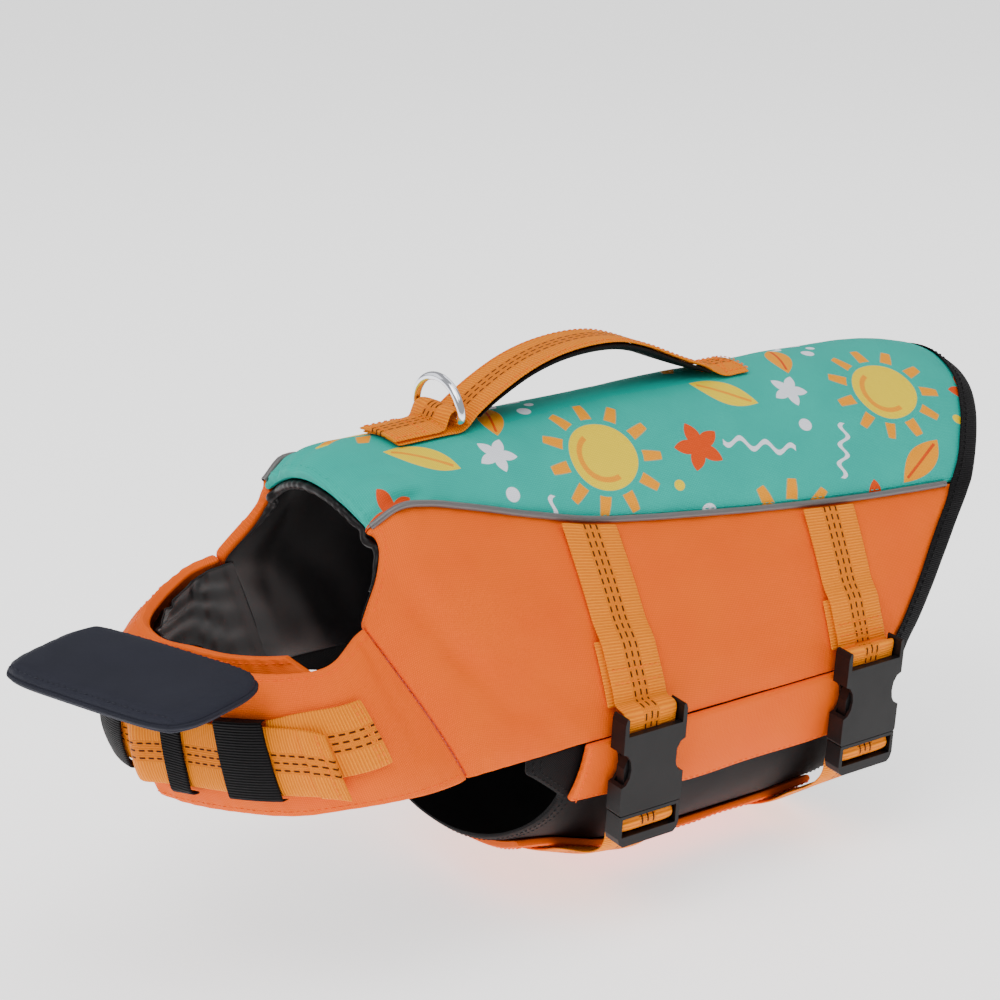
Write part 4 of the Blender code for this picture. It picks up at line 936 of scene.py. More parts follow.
@dataclass
class Surface:
    """A grid of places on a piece, with its normals and its millimetres."""

    points: np.ndarray
    normals: np.ndarray
    uv: np.ndarray

    @classmethod
    def over(cls, points: np.ndarray, normals: np.ndarray) -> "Surface":
        """A surface whose millimetres are its own arc lengths."""
        along = arcs(points, 0).mean(axis=1, keepdims=True) + 0 * points[..., 0]
        return cls(points, normals, np.stack([along, arcs(points, 1)], axis=-1))

    @classmethod
    def tape(cls, points: np.ndarray, normals: np.ndarray) -> "Surface":
        """A surface whose first millimetres are measured from the middle of its rows."""
        made = cls.over(points, normals)
        made.uv[..., 0] -= 0.5 * made.uv[-1:, :, 0]
        return made

    def moved(self, height: Amount) -> np.ndarray:
        """The points, moved out along the normals by a height in millimetres."""
        return self.points + self.normals * np.broadcast_to(height, self.points.shape[:2])[..., None]

    def cut(self) -> Cut:
        """The flat cut that this surface needs."""
        p = self.points
        low, left, right, high = p[:-1, :-1], p[1:, :-1], p[:-1, 1:], p[1:, 1:]
        one = np.linalg.norm(np.cross(left - low, right - low), axis=-1)
        two = np.linalg.norm(np.cross(left - high, right - high), axis=-1)
        width, length = float(arcs(p, 1)[:, -1].max()), float(arcs(p, 0)[-1].max())
        area = min(float((one + two).sum()) / 2, width * length)
        return Cut(width * MM, length * MM, area * MM * MM)


def placed(name: str, data: bpy.types.ID) -> bpy.types.Object:
    """Adds an object with that name and data to the scene."""
    made = bpy.data.objects.new(name, data)
    bpy.context.scene.collection.objects.link(made)
    return made


def new_piece(name: str, points: np.ndarray, faces: list, uv: np.ndarray, stuffs: Sequence[Stuff],
              face_stuff: Sequence[int], levels: int, sharp: float = 60.0) -> bpy.types.Object:
    """Adds a mesh, given in the tailor's frame, as a named piece.

    Args:
        name: The piece's name.
        points: Its places, in millimetres.
        faces: Its faces, as indices of the places.
        uv: A place on the cloth for each point, in millimetres.
        stuffs: Its finishes.
        face_stuff: Which finish each face has.
        levels: How often it is subdivided.
        sharp: Edges that turn more than this many degrees stay sharp.

    Returns:
        The object, at the origin of the row's frame.
    """
    name = f"{name}_sewn" if name in bpy.data.objects else name
    mesh = bpy.data.meshes.new(name)
    mesh.from_pydata([tuple(p) for p in to_row(points)], [], [tuple(f) for f in faces])
    for stuff in stuffs:
        mesh.materials.append(stuff.material)
    mesh.polygons.foreach_set("material_index", np.asarray(face_stuff, dtype=np.int32))
    work = bmesh.new()
    work.from_mesh(mesh)
    bmesh.ops.recalc_face_normals(work, faces=work.faces[:])
    work.to_mesh(mesh)
    work.free()
    layer = mesh.uv_layers.new(name=UV_NAME)
    places = np.empty(len(mesh.loops), dtype=np.int32)
    mesh.loops.foreach_get("vertex_index", places)
    layer.data.foreach_set("uv", np.asarray(uv, float)[places].astype(np.float32).ravel())
    mesh.shade_smooth()
    mesh.set_sharp_from_angle(angle=math.radians(sharp))
    piece = placed(name, mesh)
    if levels:
        change = piece.modifiers.new("subdivide", "SUBSURF")
        change.levels = change.render_levels = levels
    return piece


def wall(name: str, outer: np.ndarray, inner: np.ndarray, uv: np.ndarray, face: Stuff,
         lining: Stuff | None = None, levels: int = 1) -> bpy.types.Object:
    """A closed wall between two grids of places that share their rows and columns."""
    rows, cols = outer.shape[:2]
    half = rows * cols
    points = np.concatenate([outer.reshape(-1, 3), inner.reshape(-1, 3)])
    index = np.arange(half).reshape(rows, cols)
    quads = np.stack([index[:-1, :-1], index[:-1, 1:], index[1:, 1:], index[1:, :-1]], axis=-1)
    quads = quads.reshape(-1, 4)
    faces = quads.tolist() + (quads[:, ::-1] + half).tolist()
    rim = [*index[0], *index[1:, -1], *index[-1, -2::-1], *index[-2:0:-1, 0]]
    faces += [(a, half + a, half + b, b) for a, b in zip(rim, rim[1:] + rim[:1])]
    stuffs = [face, lining or face]
    which = [0] * len(quads) + [1] * len(quads) + [0] * len(rim)
    flat = uv.reshape(-1, 2)
    return new_piece(name, points, faces, np.concatenate([flat, flat]), stuffs, which, levels)


def tube(name: str, path: np.ndarray, radii: Amount, stuff: Stuff, sides: int = 14,
         closed: bool = False, hollow: float = 0.0) -> bpy.types.Object:
    """A round rod along a path, or a rolled cloth of some thickness round it.

    Args:
        name: The piece's name.
        path: Its middle line, in millimetres.
        radii: Its radius, which may change along it.
        stuff: Its finish.
        sides: How many faces it has round it.
        closed: Whether it ends where it starts.
        hollow: The thickness of its wall, or 0 for a solid rod.

    Returns:
        The piece.
    """
    path = np.asarray(path, float)
    ahead = np.roll(path, -1, axis=0) - np.roll(path, 1, axis=0) if closed else np.gradient(path, axis=0)
    ahead = unit(ahead)
    radii = np.broadcast_to(np.asarray(radii, float), (len(path),))
    across = np.cross(ahead[0], (0.0, 0.0, 1.0))
    if np.linalg.norm(across) < 0.2:
        across = np.cross(ahead[0], (1.0, 0.0, 0.0))
    run = arcs(path, 0)
    turns = 2 * math.pi * np.arange(sides) / sides
    points, uv = [], []
    for depth in (0.0, hollow) if hollow else (0.0,):
        for point, direction, radius, place in zip(path, ahead, radii, run):
            across = unit(across - np.dot(across, direction) * direction)
            other = np.cross(direction, across)
            reach = radius - depth
            points += [point + reach * (math.cos(t) * across + math.sin(t) * other) for t in turns]
            uv += [(place, radius * t) for t in turns]
    count = len(path)
    ring = np.arange(count * sides).reshape(count, sides)
    low, high = (ring, np.roll(ring, -1, axis=0)) if closed else (ring[:-1], ring[1:])
    quads = np.stack([low, np.roll(low, -1, axis=1), np.roll(high, -1, axis=1), high], axis=-1)
    quads = quads.reshape(-1, 4)
    faces = quads.tolist()
    if hollow:
        faces += (quads[:, ::-1] + count * sides).tolist()
    if not closed:
        for end in (ring[0], ring[-1]):
            pairs = zip(end, np.roll(end, -1))
            inside = count * sides
            faces += [(a, b, inside + b, inside + a) for a, b in pairs] if hollow else [tuple(end)]
    return new_piece(name, np.array(points), faces, np.array(uv), [stuff], [0] * len(faces), 0)


def web(name: str, middle: np.ndarray, across: np.ndarray, out: np.ndarray, stuff: Stuff,
        thick: float = WEB_THICK) -> tuple[bpy.types.Object, Surface]:
    """Flat webbing on a grid of places: rows along it, columns across it.

    Args:
        name: The piece's name.
        middle: The grid of its underside, in millimetres.
        across: The columns' places across, from the middle.
        out: The directions out of it.
        stuff: Its finish.
        thick: Its thickness.

    Returns:
        The piece, and its outer surface.
    """
    along = arcs(middle, 0).mean(axis=1, keepdims=True) + 0 * middle[..., 0]
    uv = np.stack([np.broadcast_to(across, along.shape), along], axis=-1)
    edge = (np.abs(across) / np.abs(across).max()) ** 10 * 0.28 * thick
    outer = middle + out * (thick - edge)[None, :, None]
    inner = middle + out * edge[None, :, None]
    return wall(name, outer, inner, uv, stuff), Surface(outer, out, uv)


def belong(piece: bpy.types.Object, nodes: Sequence[str] = (),
           body: str = BODY) -> bpy.types.Object:
    """Gives a finished piece its body and hides the solids that it stands for."""
    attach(piece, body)
    if nodes:
        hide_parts(*nodes)
    LOG.info("%s: %d faces, rides on %s", piece.name, len(piece.data.polygons), body)
    return piece


def as_sheet(piece: bpy.types.Object, cut: Cut,
             nodes: Sequence[str] = ()) -> None:
    """Finishes a piece of cloth: gives it its body and hides the solids that it stands for."""
    belong(piece, nodes)


# ---------- sewing
@dataclass(frozen=True)
class Sewing:
    """How a row of stitches looks, in millimetres."""

    stuff: Stuff
    pitch: float = 2.9
    length: float = 1.9
    radius: float = 0.24


class StitchRows:
    """Rows of stitches along lines on the cloth, made by one Geometry Nodes tree."""

    TREE = "stitches"

    def __init__(self, name: str, sewing: Sewing) -> None:
        """Starts an empty set of rows under one piece's name."""
        self.name = name
        self.sewing = sewing
        self.lines: list[np.ndarray] = []

    def line(self, points: np.ndarray) -> None:
        """Adds a row along places in the tailor's frame."""
        self.lines.append(points)

    def on(self, surface: Surface, rows: Amount, cols: Amount,
           lift: float = 0.08) -> None:
        """Adds a row through grid places of a surface, given as fractions of its lines."""
        self.line(read_grid(surface.moved(lift), rows, cols))

    @classmethod
    def tree(cls) -> bpy.types.NodeTree:
        """The node tree: lines to points, a stitch on each, realised and given its thread."""
        found = bpy.data.node_groups.get(cls.TREE)
        if found:
            return found
        tree = bpy.data.node_groups.new(cls.TREE, "GeometryNodeTree")
        face = tree.interface
        face.new_socket("Lines", in_out="INPUT", socket_type="NodeSocketGeometry")
        for label in ("Pitch", "Length", "Radius"):
            face.new_socket(label, in_out="INPUT", socket_type="NodeSocketFloat")
        face.new_socket("Thread", in_out="INPUT", socket_type="NodeSocketMaterial")
        face.new_socket("Stitches", in_out="OUTPUT", socket_type="NodeSocketGeometry")
        node = {
            "start": "NodeGroupInput", "curve": "GeometryNodeMeshToCurve",
            "points": "GeometryNodeCurveToPoints", "stitch": "GeometryNodeMeshUVSphere",
            "random": "FunctionNodeRandomValue", "longer": "ShaderNodeMath", "double": "ShaderNodeMath",
            "size": "ShaderNodeCombineXYZ", "turn": "FunctionNodeAlignRotationToVector",
            "place": "GeometryNodeInstanceOnPoints", "real": "GeometryNodeRealizeInstances",
            "smooth": "GeometryNodeSetShadeSmooth", "paint": "GeometryNodeSetMaterial",
            "end": "NodeGroupOutput",
        }
        node = {key: tree.nodes.new(kind) for key, kind in node.items()}
        node["points"].mode = "LENGTH"
        node["turn"].axis = "X"
        node["random"].data_type = "FLOAT"
        node["longer"].operation = node["double"].operation = "MULTIPLY"
        for key, socket, value in (
            ("stitch", "Segments", 6), ("stitch", "Rings", 5), ("stitch", "Radius", 0.5),
            ("random", "Min", 0.9), ("random", "Max", 1.08), ("random", "Seed", 7), ("double", 1, 2.0),
        ):
            node[key].inputs[socket].default_value = value
        for source, output, target, socket in (
            ("start", "Lines", "curve", "Mesh"), ("curve", "Curve", "points", "Curve"),
            ("start", "Pitch", "points", "Length"), ("start", "Length", "longer", 0),
            ("random", 1, "longer", 1), ("start", "Radius", "double", 0),
            ("longer", 0, "size", "X"), ("double", 0, "size", "Y"), ("double", 0, "size", "Z"),
            ("points", "Tangent", "turn", "Vector"), ("points", "Points", "place", "Points"),
            ("stitch", "Mesh", "place", "Instance"), ("turn", "Rotation", "place", "Rotation"),
            ("size", "Vector", "place", "Scale"), ("place", "Instances", "real", "Geometry"),
            ("real", "Geometry", "smooth", "Geometry"), ("smooth", "Geometry", "paint", "Geometry"),
            ("start", "Thread", "paint", "Material"), ("paint", "Geometry", "end", "Stitches"),
        ):
            tree.links.new(node[source].outputs[output], node[target].inputs[socket])
        return tree

    def sew(self, body: str = BODY) -> bpy.types.Object:
        """Makes the stitches as one mesh piece.

        Returns:
            The finished piece, riding on its body.
        """
        lines = bpy.data.meshes.new(f"{self.name}_lines")
        starts = np.cumsum([0] + [len(line) for line in self.lines])
        edges = [(s + i, s + i + 1) for s, line in zip(starts, self.lines) for i in range(len(line) - 1)]
        lines.from_pydata([tuple(p) for line in self.lines for p in to_row(line)], edges, [])
        helper = placed(f"{self.name}_lines", lines)
        change = helper.modifiers.new("stitches", "NODES")
        change.node_group = self.tree()
        known = {item.name: item.identifier for item in change.node_group.interface.items_tree}
        for label in ("Pitch", "Length", "Radius"):
            change[known[label]] = getattr(self.sewing, label.lower()) * MM
        change[known["Thread"]] = self.sewing.stuff.material
        bpy.context.view_layer.update()
        graph = bpy.context.evaluated_depsgraph_get()
        made = bpy.data.meshes.new_from_object(helper.evaluated_get(graph))
        bpy.data.objects.remove(helper)
        made.name = self.name
        return belong(placed(self.name, made), body=body)


def read_grid(grid: np.ndarray, rows: Amount, cols: Amount) -> np.ndarray:
    """Places of a grid at fractions of its lines."""
    rows, cols = arrays(rows, cols)
    rows = np.clip(rows, 0, 1) * (grid.shape[0] - 1)
    cols = np.clip(cols, 0, 1) * (grid.shape[1] - 1)
    i = np.minimum(rows.astype(int), grid.shape[0] - 2)
    j = np.minimum(cols.astype(int), grid.shape[1] - 2)
    s, t = (rows - i)[..., None], (cols - j)[..., None]
    low = grid[i, j] * (1 - t) + grid[i, j + 1] * t
    high = grid[i + 1, j] * (1 - t) + grid[i + 1, j + 1] * t
    return low * (1 - s) + high * s


# ---------- the padded shell
@dataclass
class Quilt:
    """A padded panel: its outer surface and the face on its other side."""

    outer: Surface
    inner: np.ndarray

    @classmethod
    def over(cls, points: np.ndarray, normals: np.ndarray, uv: np.ndarray, thick: float,
             creases: Sequence[Crease], seed: int, calm: Amount = 1.0) -> "Quilt":
        """Pads a surface: full in the middle, pressed thin at its seams, with folds and puckers.

        Args:
            points: The surface's places, in millimetres.
            normals: Its directions out.
            uv: Its millimetres along and across.
            thick: Thickness of the padding in the middle.
            creases: The listed folds.
            seed: Picks the slow unevenness.
            calm: 0 where webbing lies on the panel and it stays smooth, 1 elsewhere.

        Returns:
            The quilted panel.
        """
        along, across = arcs(points, 0), arcs(points, 1)
        near_end = np.minimum(along, along[-1:] - along)
        near_side = np.minimum(across, across[:, -1:] - across)
        press_end = np.clip(1 - near_end / EDGE_REACH, 0, 1) ** 1.7
        press_side = np.clip(1 - near_side / EDGE_REACH, 0, 1) ** 1.7
        edge = 1 - (1 - press_end) * (1 - press_side)
        u, v = uv[..., 0], uv[..., 1]
        uneven = rumple(u, v, 26.0, seed + 5)
        pucker = 0.30 * press_side * np.sin(2 * math.pi * u / 7.5 + 1.6 * uneven)
        pucker += 0.30 * press_end * np.sin(2 * math.pi * v / 7.0 + 1.6 * uneven)
        folds = 0.55 * rumple(u, v, 52.0, seed) + 0.16 * rumple(u, v, 13.0, seed + 1)
        height = (folds * (1 - edge) - pressed(u, v, creases)) * calm + pucker * (edge < 0.98)
        height = np.clip(height, -2.8, 1.2)
        base = points - normals * (EDGE_DROP * edge)[..., None]
        inner = base - normals * (thick - (thick - EDGE_THICK) * edge)[..., None]
        return cls(Surface(base + normals * height[..., None], normals, uv), inner)

    def piece(self, name: str, face: Stuff, lining: Stuff | None = None) -> bpy.types.Object:
        """Makes the panel and hides the solid that it stands for."""
        made = wall(name, self.outer.points, self.inner, self.outer.uv, face, lining)
        return belong(made, [name])


def blend_edge(normals: np.ndarray, points: np.ndarray, axis: int, end: int, wanted: np.ndarray) -> None:
    """Turns the normals towards those of a shared seam within a few millimetres of it."""
    run = arcs(points, axis)
    near = run if end == 0 else np.take(run, [-1], axis=axis) - run
    share = np.clip(1 - near / 4.0, 0, 1)[..., None] ** 2
    wanted = np.expand_dims(wanted, axis)
    normals[:] = unit(normals * (1 - share) + wanted * share)


@dataclass
class Shell:
    """Back, sides and chest wings, with the lining, the casing, the piping and the hem."""

    back: Quilt = field(init=False)
    sides: dict[float, Quilt] = field(default_factory=dict)
    wings: dict[float, Quilt] = field(default_factory=dict)

    def build(self) -> None:
        """Makes every piece of the shell."""
        self.back = self.back_quilt()
        self.back.piece("back_panel", Stuff.PRINTED)
        for side, name in SIDES.items():
            self.sides[side] = self.side_quilt(side)
            self.sides[side].piece(f"side_panel_{name}", Stuff.ORANGE)
        self.wings[LEFT] = self.wing_quilt(LEFT_RIBS, 78, 21)
        self.wings[RIGHT] = self.wing_quilt(RIGHT_RIBS, 90, 22)
        self.wings[LEFT].piece("chest_wing_left", Stuff.ORANGE, Stuff.LINING)
        self.wings[RIGHT].piece("chest_wing_right", Stuff.ORANGE)
        self.build_body_lining()
        self.build_gathered_lining()
        self.build_casing()
        self.build_piping()
        self.build_hem()
        self.sew()

    def back_quilt(self) -> Quilt:
        """The printed back panel, stations along the spine by places across it."""
        half = 0.5 * math.pi * 0.36
        across = 0.0018 + (1 - 0.0036) * spread(46, 0.6)
        a = np.sin((across - 0.5) * 2 * half) / math.sin(half)
        x = lerp(back_front_x(a)[None, :], back_rear_x(a)[None, :], spread(96, 0.6)[:, None])
        points = back_point(x, a[None, :])
        normals = outward(points)
        blend_edge(normals, points, 1, 0, piping_normals(x[:, 0], LEFT))
        blend_edge(normals, points, 1, -1, piping_normals(x[:, -1], RIGHT))
        run = arcs(points, 1)
        v = run - 0.5 * run[:, -1:]
        calm = np.clip((np.maximum(np.abs(v) - 13, 0) - 1) / 8, 0.1, 1)
        under_handle = (x > 26) & (x < 66) | (x > 182) & (x < 206)
        calm = np.where(under_handle, calm, 1.0)
        return Quilt.over(points, normals, np.stack([x, v], axis=-1), BACK_THICK, BACK_CREASES, 3, calm)

    def side_quilt(self, side: float) -> Quilt:
        """A side panel, stations along the spine by places down it."""
        b = 0.0018 + (1 - 0.0018) * spread(44, 0.6)
        in_dart = (b >= DART_TOP_B - 0.001) * SEAM_GAP / 2
        front, rear = side_front_x(b) + in_dart, side_rear_x(b)
        x = lerp(front[None, :], rear[None, :], spread(84, 0.6)[:, None])
        points = side_point(x, b[None, :], side)
        normals = outward(points)
        low = b > DART_TOP_B
        at_dart = normals[0].copy()
        at_dart[low] = dart_normals((b[low] - DART_TOP_B) / (1 - DART_TOP_B), side)
        blend_edge(normals, points, 0, 0, at_dart)
        blend_edge(normals, points, 1, 0, piping_normals(x[:, 0], side))
        blend_edge(normals, points, 1, -1, np.broadcast_to((0.0, side, 0.0), (len(x), 3)))
        uv = np.stack([x, arcs(points, 1)], axis=-1)
        off = np.minimum(np.abs(x - FRONT_STRAP_X), np.abs(x - REAR_STRAP_X))
        calm = np.clip((off - 13.0) / 9.0, 0.0, 1.0)
        quilt = Quilt.over(points, normals, uv, SIDE_THICK, SIDE_CREASES, 8 + int(side), calm)
        puff = 0.55 * np.exp(-((off - 19.0) / 7.0) ** 2) * np.sin(np.pi * np.clip(b, 0, 1)) ** 0.7
        quilt.outer.points += normals * puff[..., None]
        return quilt

    def wing_quilt(self, ribs: Sequence[Rib], count: int, seed: int) -> Quilt:
        """A chest wing, places along its ribs by places down it."""
        side = math.copysign(1.0, ribs[0].top_y)
        depth = spread(30, 0.6)
        rib = 0.012 + (len(ribs) - 1.012) * spread(count, 0.4)
        slant = 0.55 * np.clip(1 - depth / 0.16, 0.0, 1.0) * (side == RIGHT)
        share = np.clip((rib - rib[-1] + 2.0) / 2.0, 0.0, 1.0)
        points = wing_point(ribs, rib[:, None] - share[:, None] * slant[None, :], depth[None, :])
        normals = outward(points)
        at_dart = dart_normals(depth, side)
        at_dart[-1] = (0.0, side, 0.0)
        blend_edge(normals, points, 0, 0, at_dart)
        run = arcs(points, 0).mean(axis=1, keepdims=True) + 0 * points[..., 0]
        uv = np.stack([run, arcs(points, 1)], axis=-1)
        ends = (1.5, 4.2) if side == LEFT else (2.0, 6.1)
        off = np.minimum(np.abs(rib - ends[0]), np.abs(rib - ends[1]))
        calm = np.clip((off - 0.2) / 0.6, 0.25, 1)[:, None]
        return Quilt.over(points, normals, uv, WING_THICK, WING_CREASES, seed, calm)

    def build_body_lining(self) -> None:
        """One lining from the left belly seam over the back to the right one."""
        parts = []
        for quilt, turn in ((self.sides[LEFT], -1), (self.back, 1), (self.sides[RIGHT], 1)):
            rows = np.linspace(0, 1, 66)[:, None]
            cols = np.linspace(0, 1, 26)[None, ::turn]
            x = read_grid(quilt.outer.uv[..., :1], rows, cols)[..., 0]
            place = read_grid(quilt.inner, rows, cols)
            out = unit(read_grid(quilt.outer.normals, rows, cols))
            parts.append((place, out, x))
        keep = [slice(None, -1), slice(None), slice(1, None)]
        points, normals, x = (
            np.concatenate([part[k][:, s] for part, s in zip(parts, keep)], axis=1) for k in range(3)
        )
        inset = np.clip(1 - arcs(points, 0) / 8.0, 0, 1)
        run = arcs(points, 1)
        v = run - 0.5 * run[:, -1:]
        folds = 0.5 + 0.5 * rumple(x, v, 30.0, 31)
        depth = LINING_GAP + 1.1 * folds * (1 - inset) + np.clip(pressed(x, v, LINING_CREASES), 0, 2.0)
        depth = depth + 0.35 * inset * (1 + np.sin(v / 1.1))
        rim = np.clip(arcs(points, 0)[-1:] - arcs(points, 0), 0, 12.0) / 12.0
        depth = LINING_GAP + (depth - LINING_GAP) * rim ** 0.5
        outer = points - normals * depth[..., None]
        surface = Surface(outer - normals * LINING, -normals, np.stack([x, v], axis=-1))
        made = wall("lining_body", surface.points, outer, surface.uv, Stuff.LINING)
        as_sheet(made, surface.cut(), ["lining_body"])

    def build_gathered_lining(self) -> None:
        """Lining of the right wing, gathered into soft folds by the elastic of the neck."""
        quilt = self.wings[RIGHT]
        rows, cols = np.linspace(0, 0.66, 88)[:, None], np.linspace(0, 0.97, 26)[None, :]
        place = read_grid(quilt.inner, rows, cols)
        out = unit(read_grid(quilt.outer.normals, rows, cols))
        along = arcs(place, 0).mean(axis=1, keepdims=True)
        across = arcs(place, 1)
        slow = rumple(along + 0 * across, across, 38.0, 41)
        bend = 0.55 * along + 0.85 * across + 7.0 * slow
        fold = (0.5 + 0.5 * np.sin(2 * math.pi * bend / 15.0)) ** 0.8
        small = 0.5 + 0.5 * np.sin(2 * math.pi * (0.8 * along - 0.5 * across + 5.0 * slow) / 9.0)
        reach = np.clip(np.minimum(along, along[-1:] - along) / 14.0, 0, 1) ** 0.6
        gather = 0.5 + 0.5 * rumple(along + 0 * across, 0.2 * across, 15.0, 43)
        rim = np.exp(-(across / 7.0) ** 2) * (1.4 * gather + 0.3)
        depth = LINING_GAP + (1.7 * fold + 0.6 * small + rim) * reach
        lap = 3.0 * unit(place[0] - place[1])
        place = np.concatenate([place[:1] + lap, place])
        out = np.concatenate([out[:1], out])
        depth = np.concatenate([depth[:1], depth])
        depth = depth + 2.2 * np.clip(1 - arcs(place, 0) / 9.0, 0.0, 1.0)
        surface = Surface.over(place - out * (depth + LINING)[..., None], -out)
        back = surface.points + out * LINING
        made = wall("lining_wing_right", surface.points, back, surface.uv, Stuff.LINING)
        as_sheet(made, surface.cut(), ["lining_wing_right"])

    def build_casing(self) -> None:
        """Elastic casing just inside the neck edge, gathered into small puckers."""
        def edge(quilt: Quilt, shares: Sequence[float]) -> np.ndarray:
            out = unit(read_grid(quilt.outer.normals, 0.0, shares))
            return read_grid(quilt.inner, 0.0, shares) - out * (CASING_R + 0.55)

        low = [0.02, 0.135, 0.24, 0.30]
        left, right = edge(self.sides[LEFT], low), edge(self.sides[RIGHT], low)
        middle = edge(self.back, [0.90, 0.78, 0.66, 0.55, 0.45, 0.34, 0.22, 0.10])
        path = smooth_path([*right[::-1], *middle, *left], 300)
        place = arcs(path, 0)
        uneven = rumple(place, 0 * place, 24.0, 51)
        puckers = np.sin(2 * math.pi * place / 5.2 + 2.2 * uneven)
        ends = np.clip(np.minimum(place, place[-1] - place) / 14.0, 0.25, 1.0)
        radii = (CASING_R - 0.15 + (0.13 + 0.07 * uneven) * puckers) * ends
        made = tube("neck_casing", path, radii, Stuff.LINING, 14, hollow=0.35)
        cut = Cut.rolled(2 * math.pi * CASING_R, length_of(path))
        as_sheet(made, cut, ["neck_casing"])

    def build_piping(self) -> None:
        """Reflective piping in the seams between the back and the sides."""
        for side, name in SIDES.items():
            x = np.linspace(1.0, HEM_SEAM_X - 13.5, 120)
            uneven = 0.25 * rumple(x, 0 * x, 22.0, 61)
            sunk = 0.75 - uneven + 0.9 * np.clip(1 - (x - x[0]) / 9.0, 0.0, 1.0)
            path = back_point(x, side) - piping_normals(x, side) * sunk[:, None]
            made = tube(f"piping_{name}", path, PIPING_R, Stuff.PIPING, 14, hollow=0.4)
            cut = Cut.rolled(2 * math.pi * PIPING_R, float(x[-1] - x[0]))
            as_sheet(made, cut, [f"piping_{name}"])

    def build_hem(self) -> None:
        """Folded tape round the rear hem, from one belly seam over the back to the other."""
        runs = []
        for quilt, turn in ((self.sides[LEFT], -1), (self.back, 1), (self.sides[RIGHT], 1)):
            near = arcs(quilt.outer.points, 0)
            near = near[-1:] - near
            places = {}
            for key, grid in (("out", quilt.outer.points), ("in", quilt.inner)):
                for reach in (0.0, 0.5, BINDING_WIDTH):
                    line = [[np.interp(reach, near[::-1, j], grid[::-1, j, k]) for k in range(3)]
                            for j in range(grid.shape[1])]
                    places[key, reach] = np.array(line)[::turn]
            runs.append(places)
        keep = [slice(None, -1), slice(None), slice(1, None)]
        join = {key: np.concatenate([run[key][s] for run, s in zip(runs, keep)]) for key in runs[0]}
        edge_out, edge_in = join["out", 0.0], join["in", 0.0]
        deep_out, deep_in = join["out", BINDING_WIDTH], join["in", BINDING_WIDTH]
        out = unit(edge_out - edge_in)
        back = unit(edge_out - deep_out)
        beyond = unit(back - out * np.sum(back * out, axis=1)[:, None])
        middle_out, middle_in = lerp(edge_out, deep_out, 0.45), lerp(edge_in, deep_in, 0.45)
        half = 0.5 * (edge_out + edge_in)

        def folded(lift: float) -> np.ndarray:
            return np.stack([
                deep_out + out * lift, middle_out + out * lift,
                edge_out + out * lift + beyond * lift * 0.3,
                lerp(edge_out, half, 0.25) + beyond * lift + out * lift * 0.6,
                half + beyond * lift * 1.15,
                lerp(edge_in, half, 0.25) + beyond * lift - out * lift * 0.6,
                edge_in - out * lift + beyond * lift * 0.3,
                middle_in - out * lift, deep_in - out * lift,
            ], axis=1)

        outer, inner = folded(BINDING_GAP + BINDING_THICK), folded(BINDING_GAP)
        length = arcs(outer, 0).mean(axis=1, keepdims=True)
        uneven = 0.4 + 0.6 * rumple(length, 0 * length, 30.0, 71)
        ripple = 0.22 * np.sin(2 * math.pi * length / 5.2) * uneven
        weight = np.array([1.0, 0.8, 0.2, 0, 0, 0, 0.2, 0.8, 1.0])
        sign = np.array([1.0, 1, 1, 1, 0, -1, -1, -1, -1])
        outer = outer + out[:, None] * (ripple * weight * sign)[..., None]
        uv = np.stack([arcs(outer, 1), length + 0 * outer[..., 0]], axis=-1)
        made = wall("rear_binding", outer, inner, uv, Stuff.BLACK_WEB)
        as_sheet(made, Surface(outer, outer, uv).cut(), ["rear_binding"])
        rows = StitchRows("stitches_binding", Sewing(Stuff.THREAD_BLACK, 3.0, 2.1, 0.26))
        run, nearest = np.linspace(0.002, 0.998, 260), np.linspace(0, len(out) - 1, 260).astype(int)
        for place, lift in ((0.08, 0.1), (0.92, -0.1)):
            rows.line(read_grid(outer, run, place) + out[nearest] * lift)
        rows.sew()

    def sew(self) -> None:
        """Topstitching of the shell."""
        teal = StitchRows("stitches_back", Sewing(Stuff.THREAD_TEAL, 2.6, 1.8, 0.2))
        run = np.linspace(0.01, 0.955, 240)
        for share in (0.024, 0.976):
            teal.on(self.back.outer, run, share)
        across = np.linspace(0.03, 0.97, 160)
        teal.on(self.back.outer, 0.018, across)
        teal.sew()
        cloth = StitchRows("stitches_shell", Sewing(Stuff.THREAD_CLOTH, 2.8, 1.9, 0.2))
        for quilt in self.wings.values():
            along = np.linspace(0.03, 0.985, 200)
            for share in (0.10, 0.90):
                cloth.on(quilt.outer, along, share)
        for quilt in self.sides.values():
            down = np.linspace(0.02, 0.36, 70)
            cloth.on(quilt.outer, 0.022, down)
        cloth.sew()


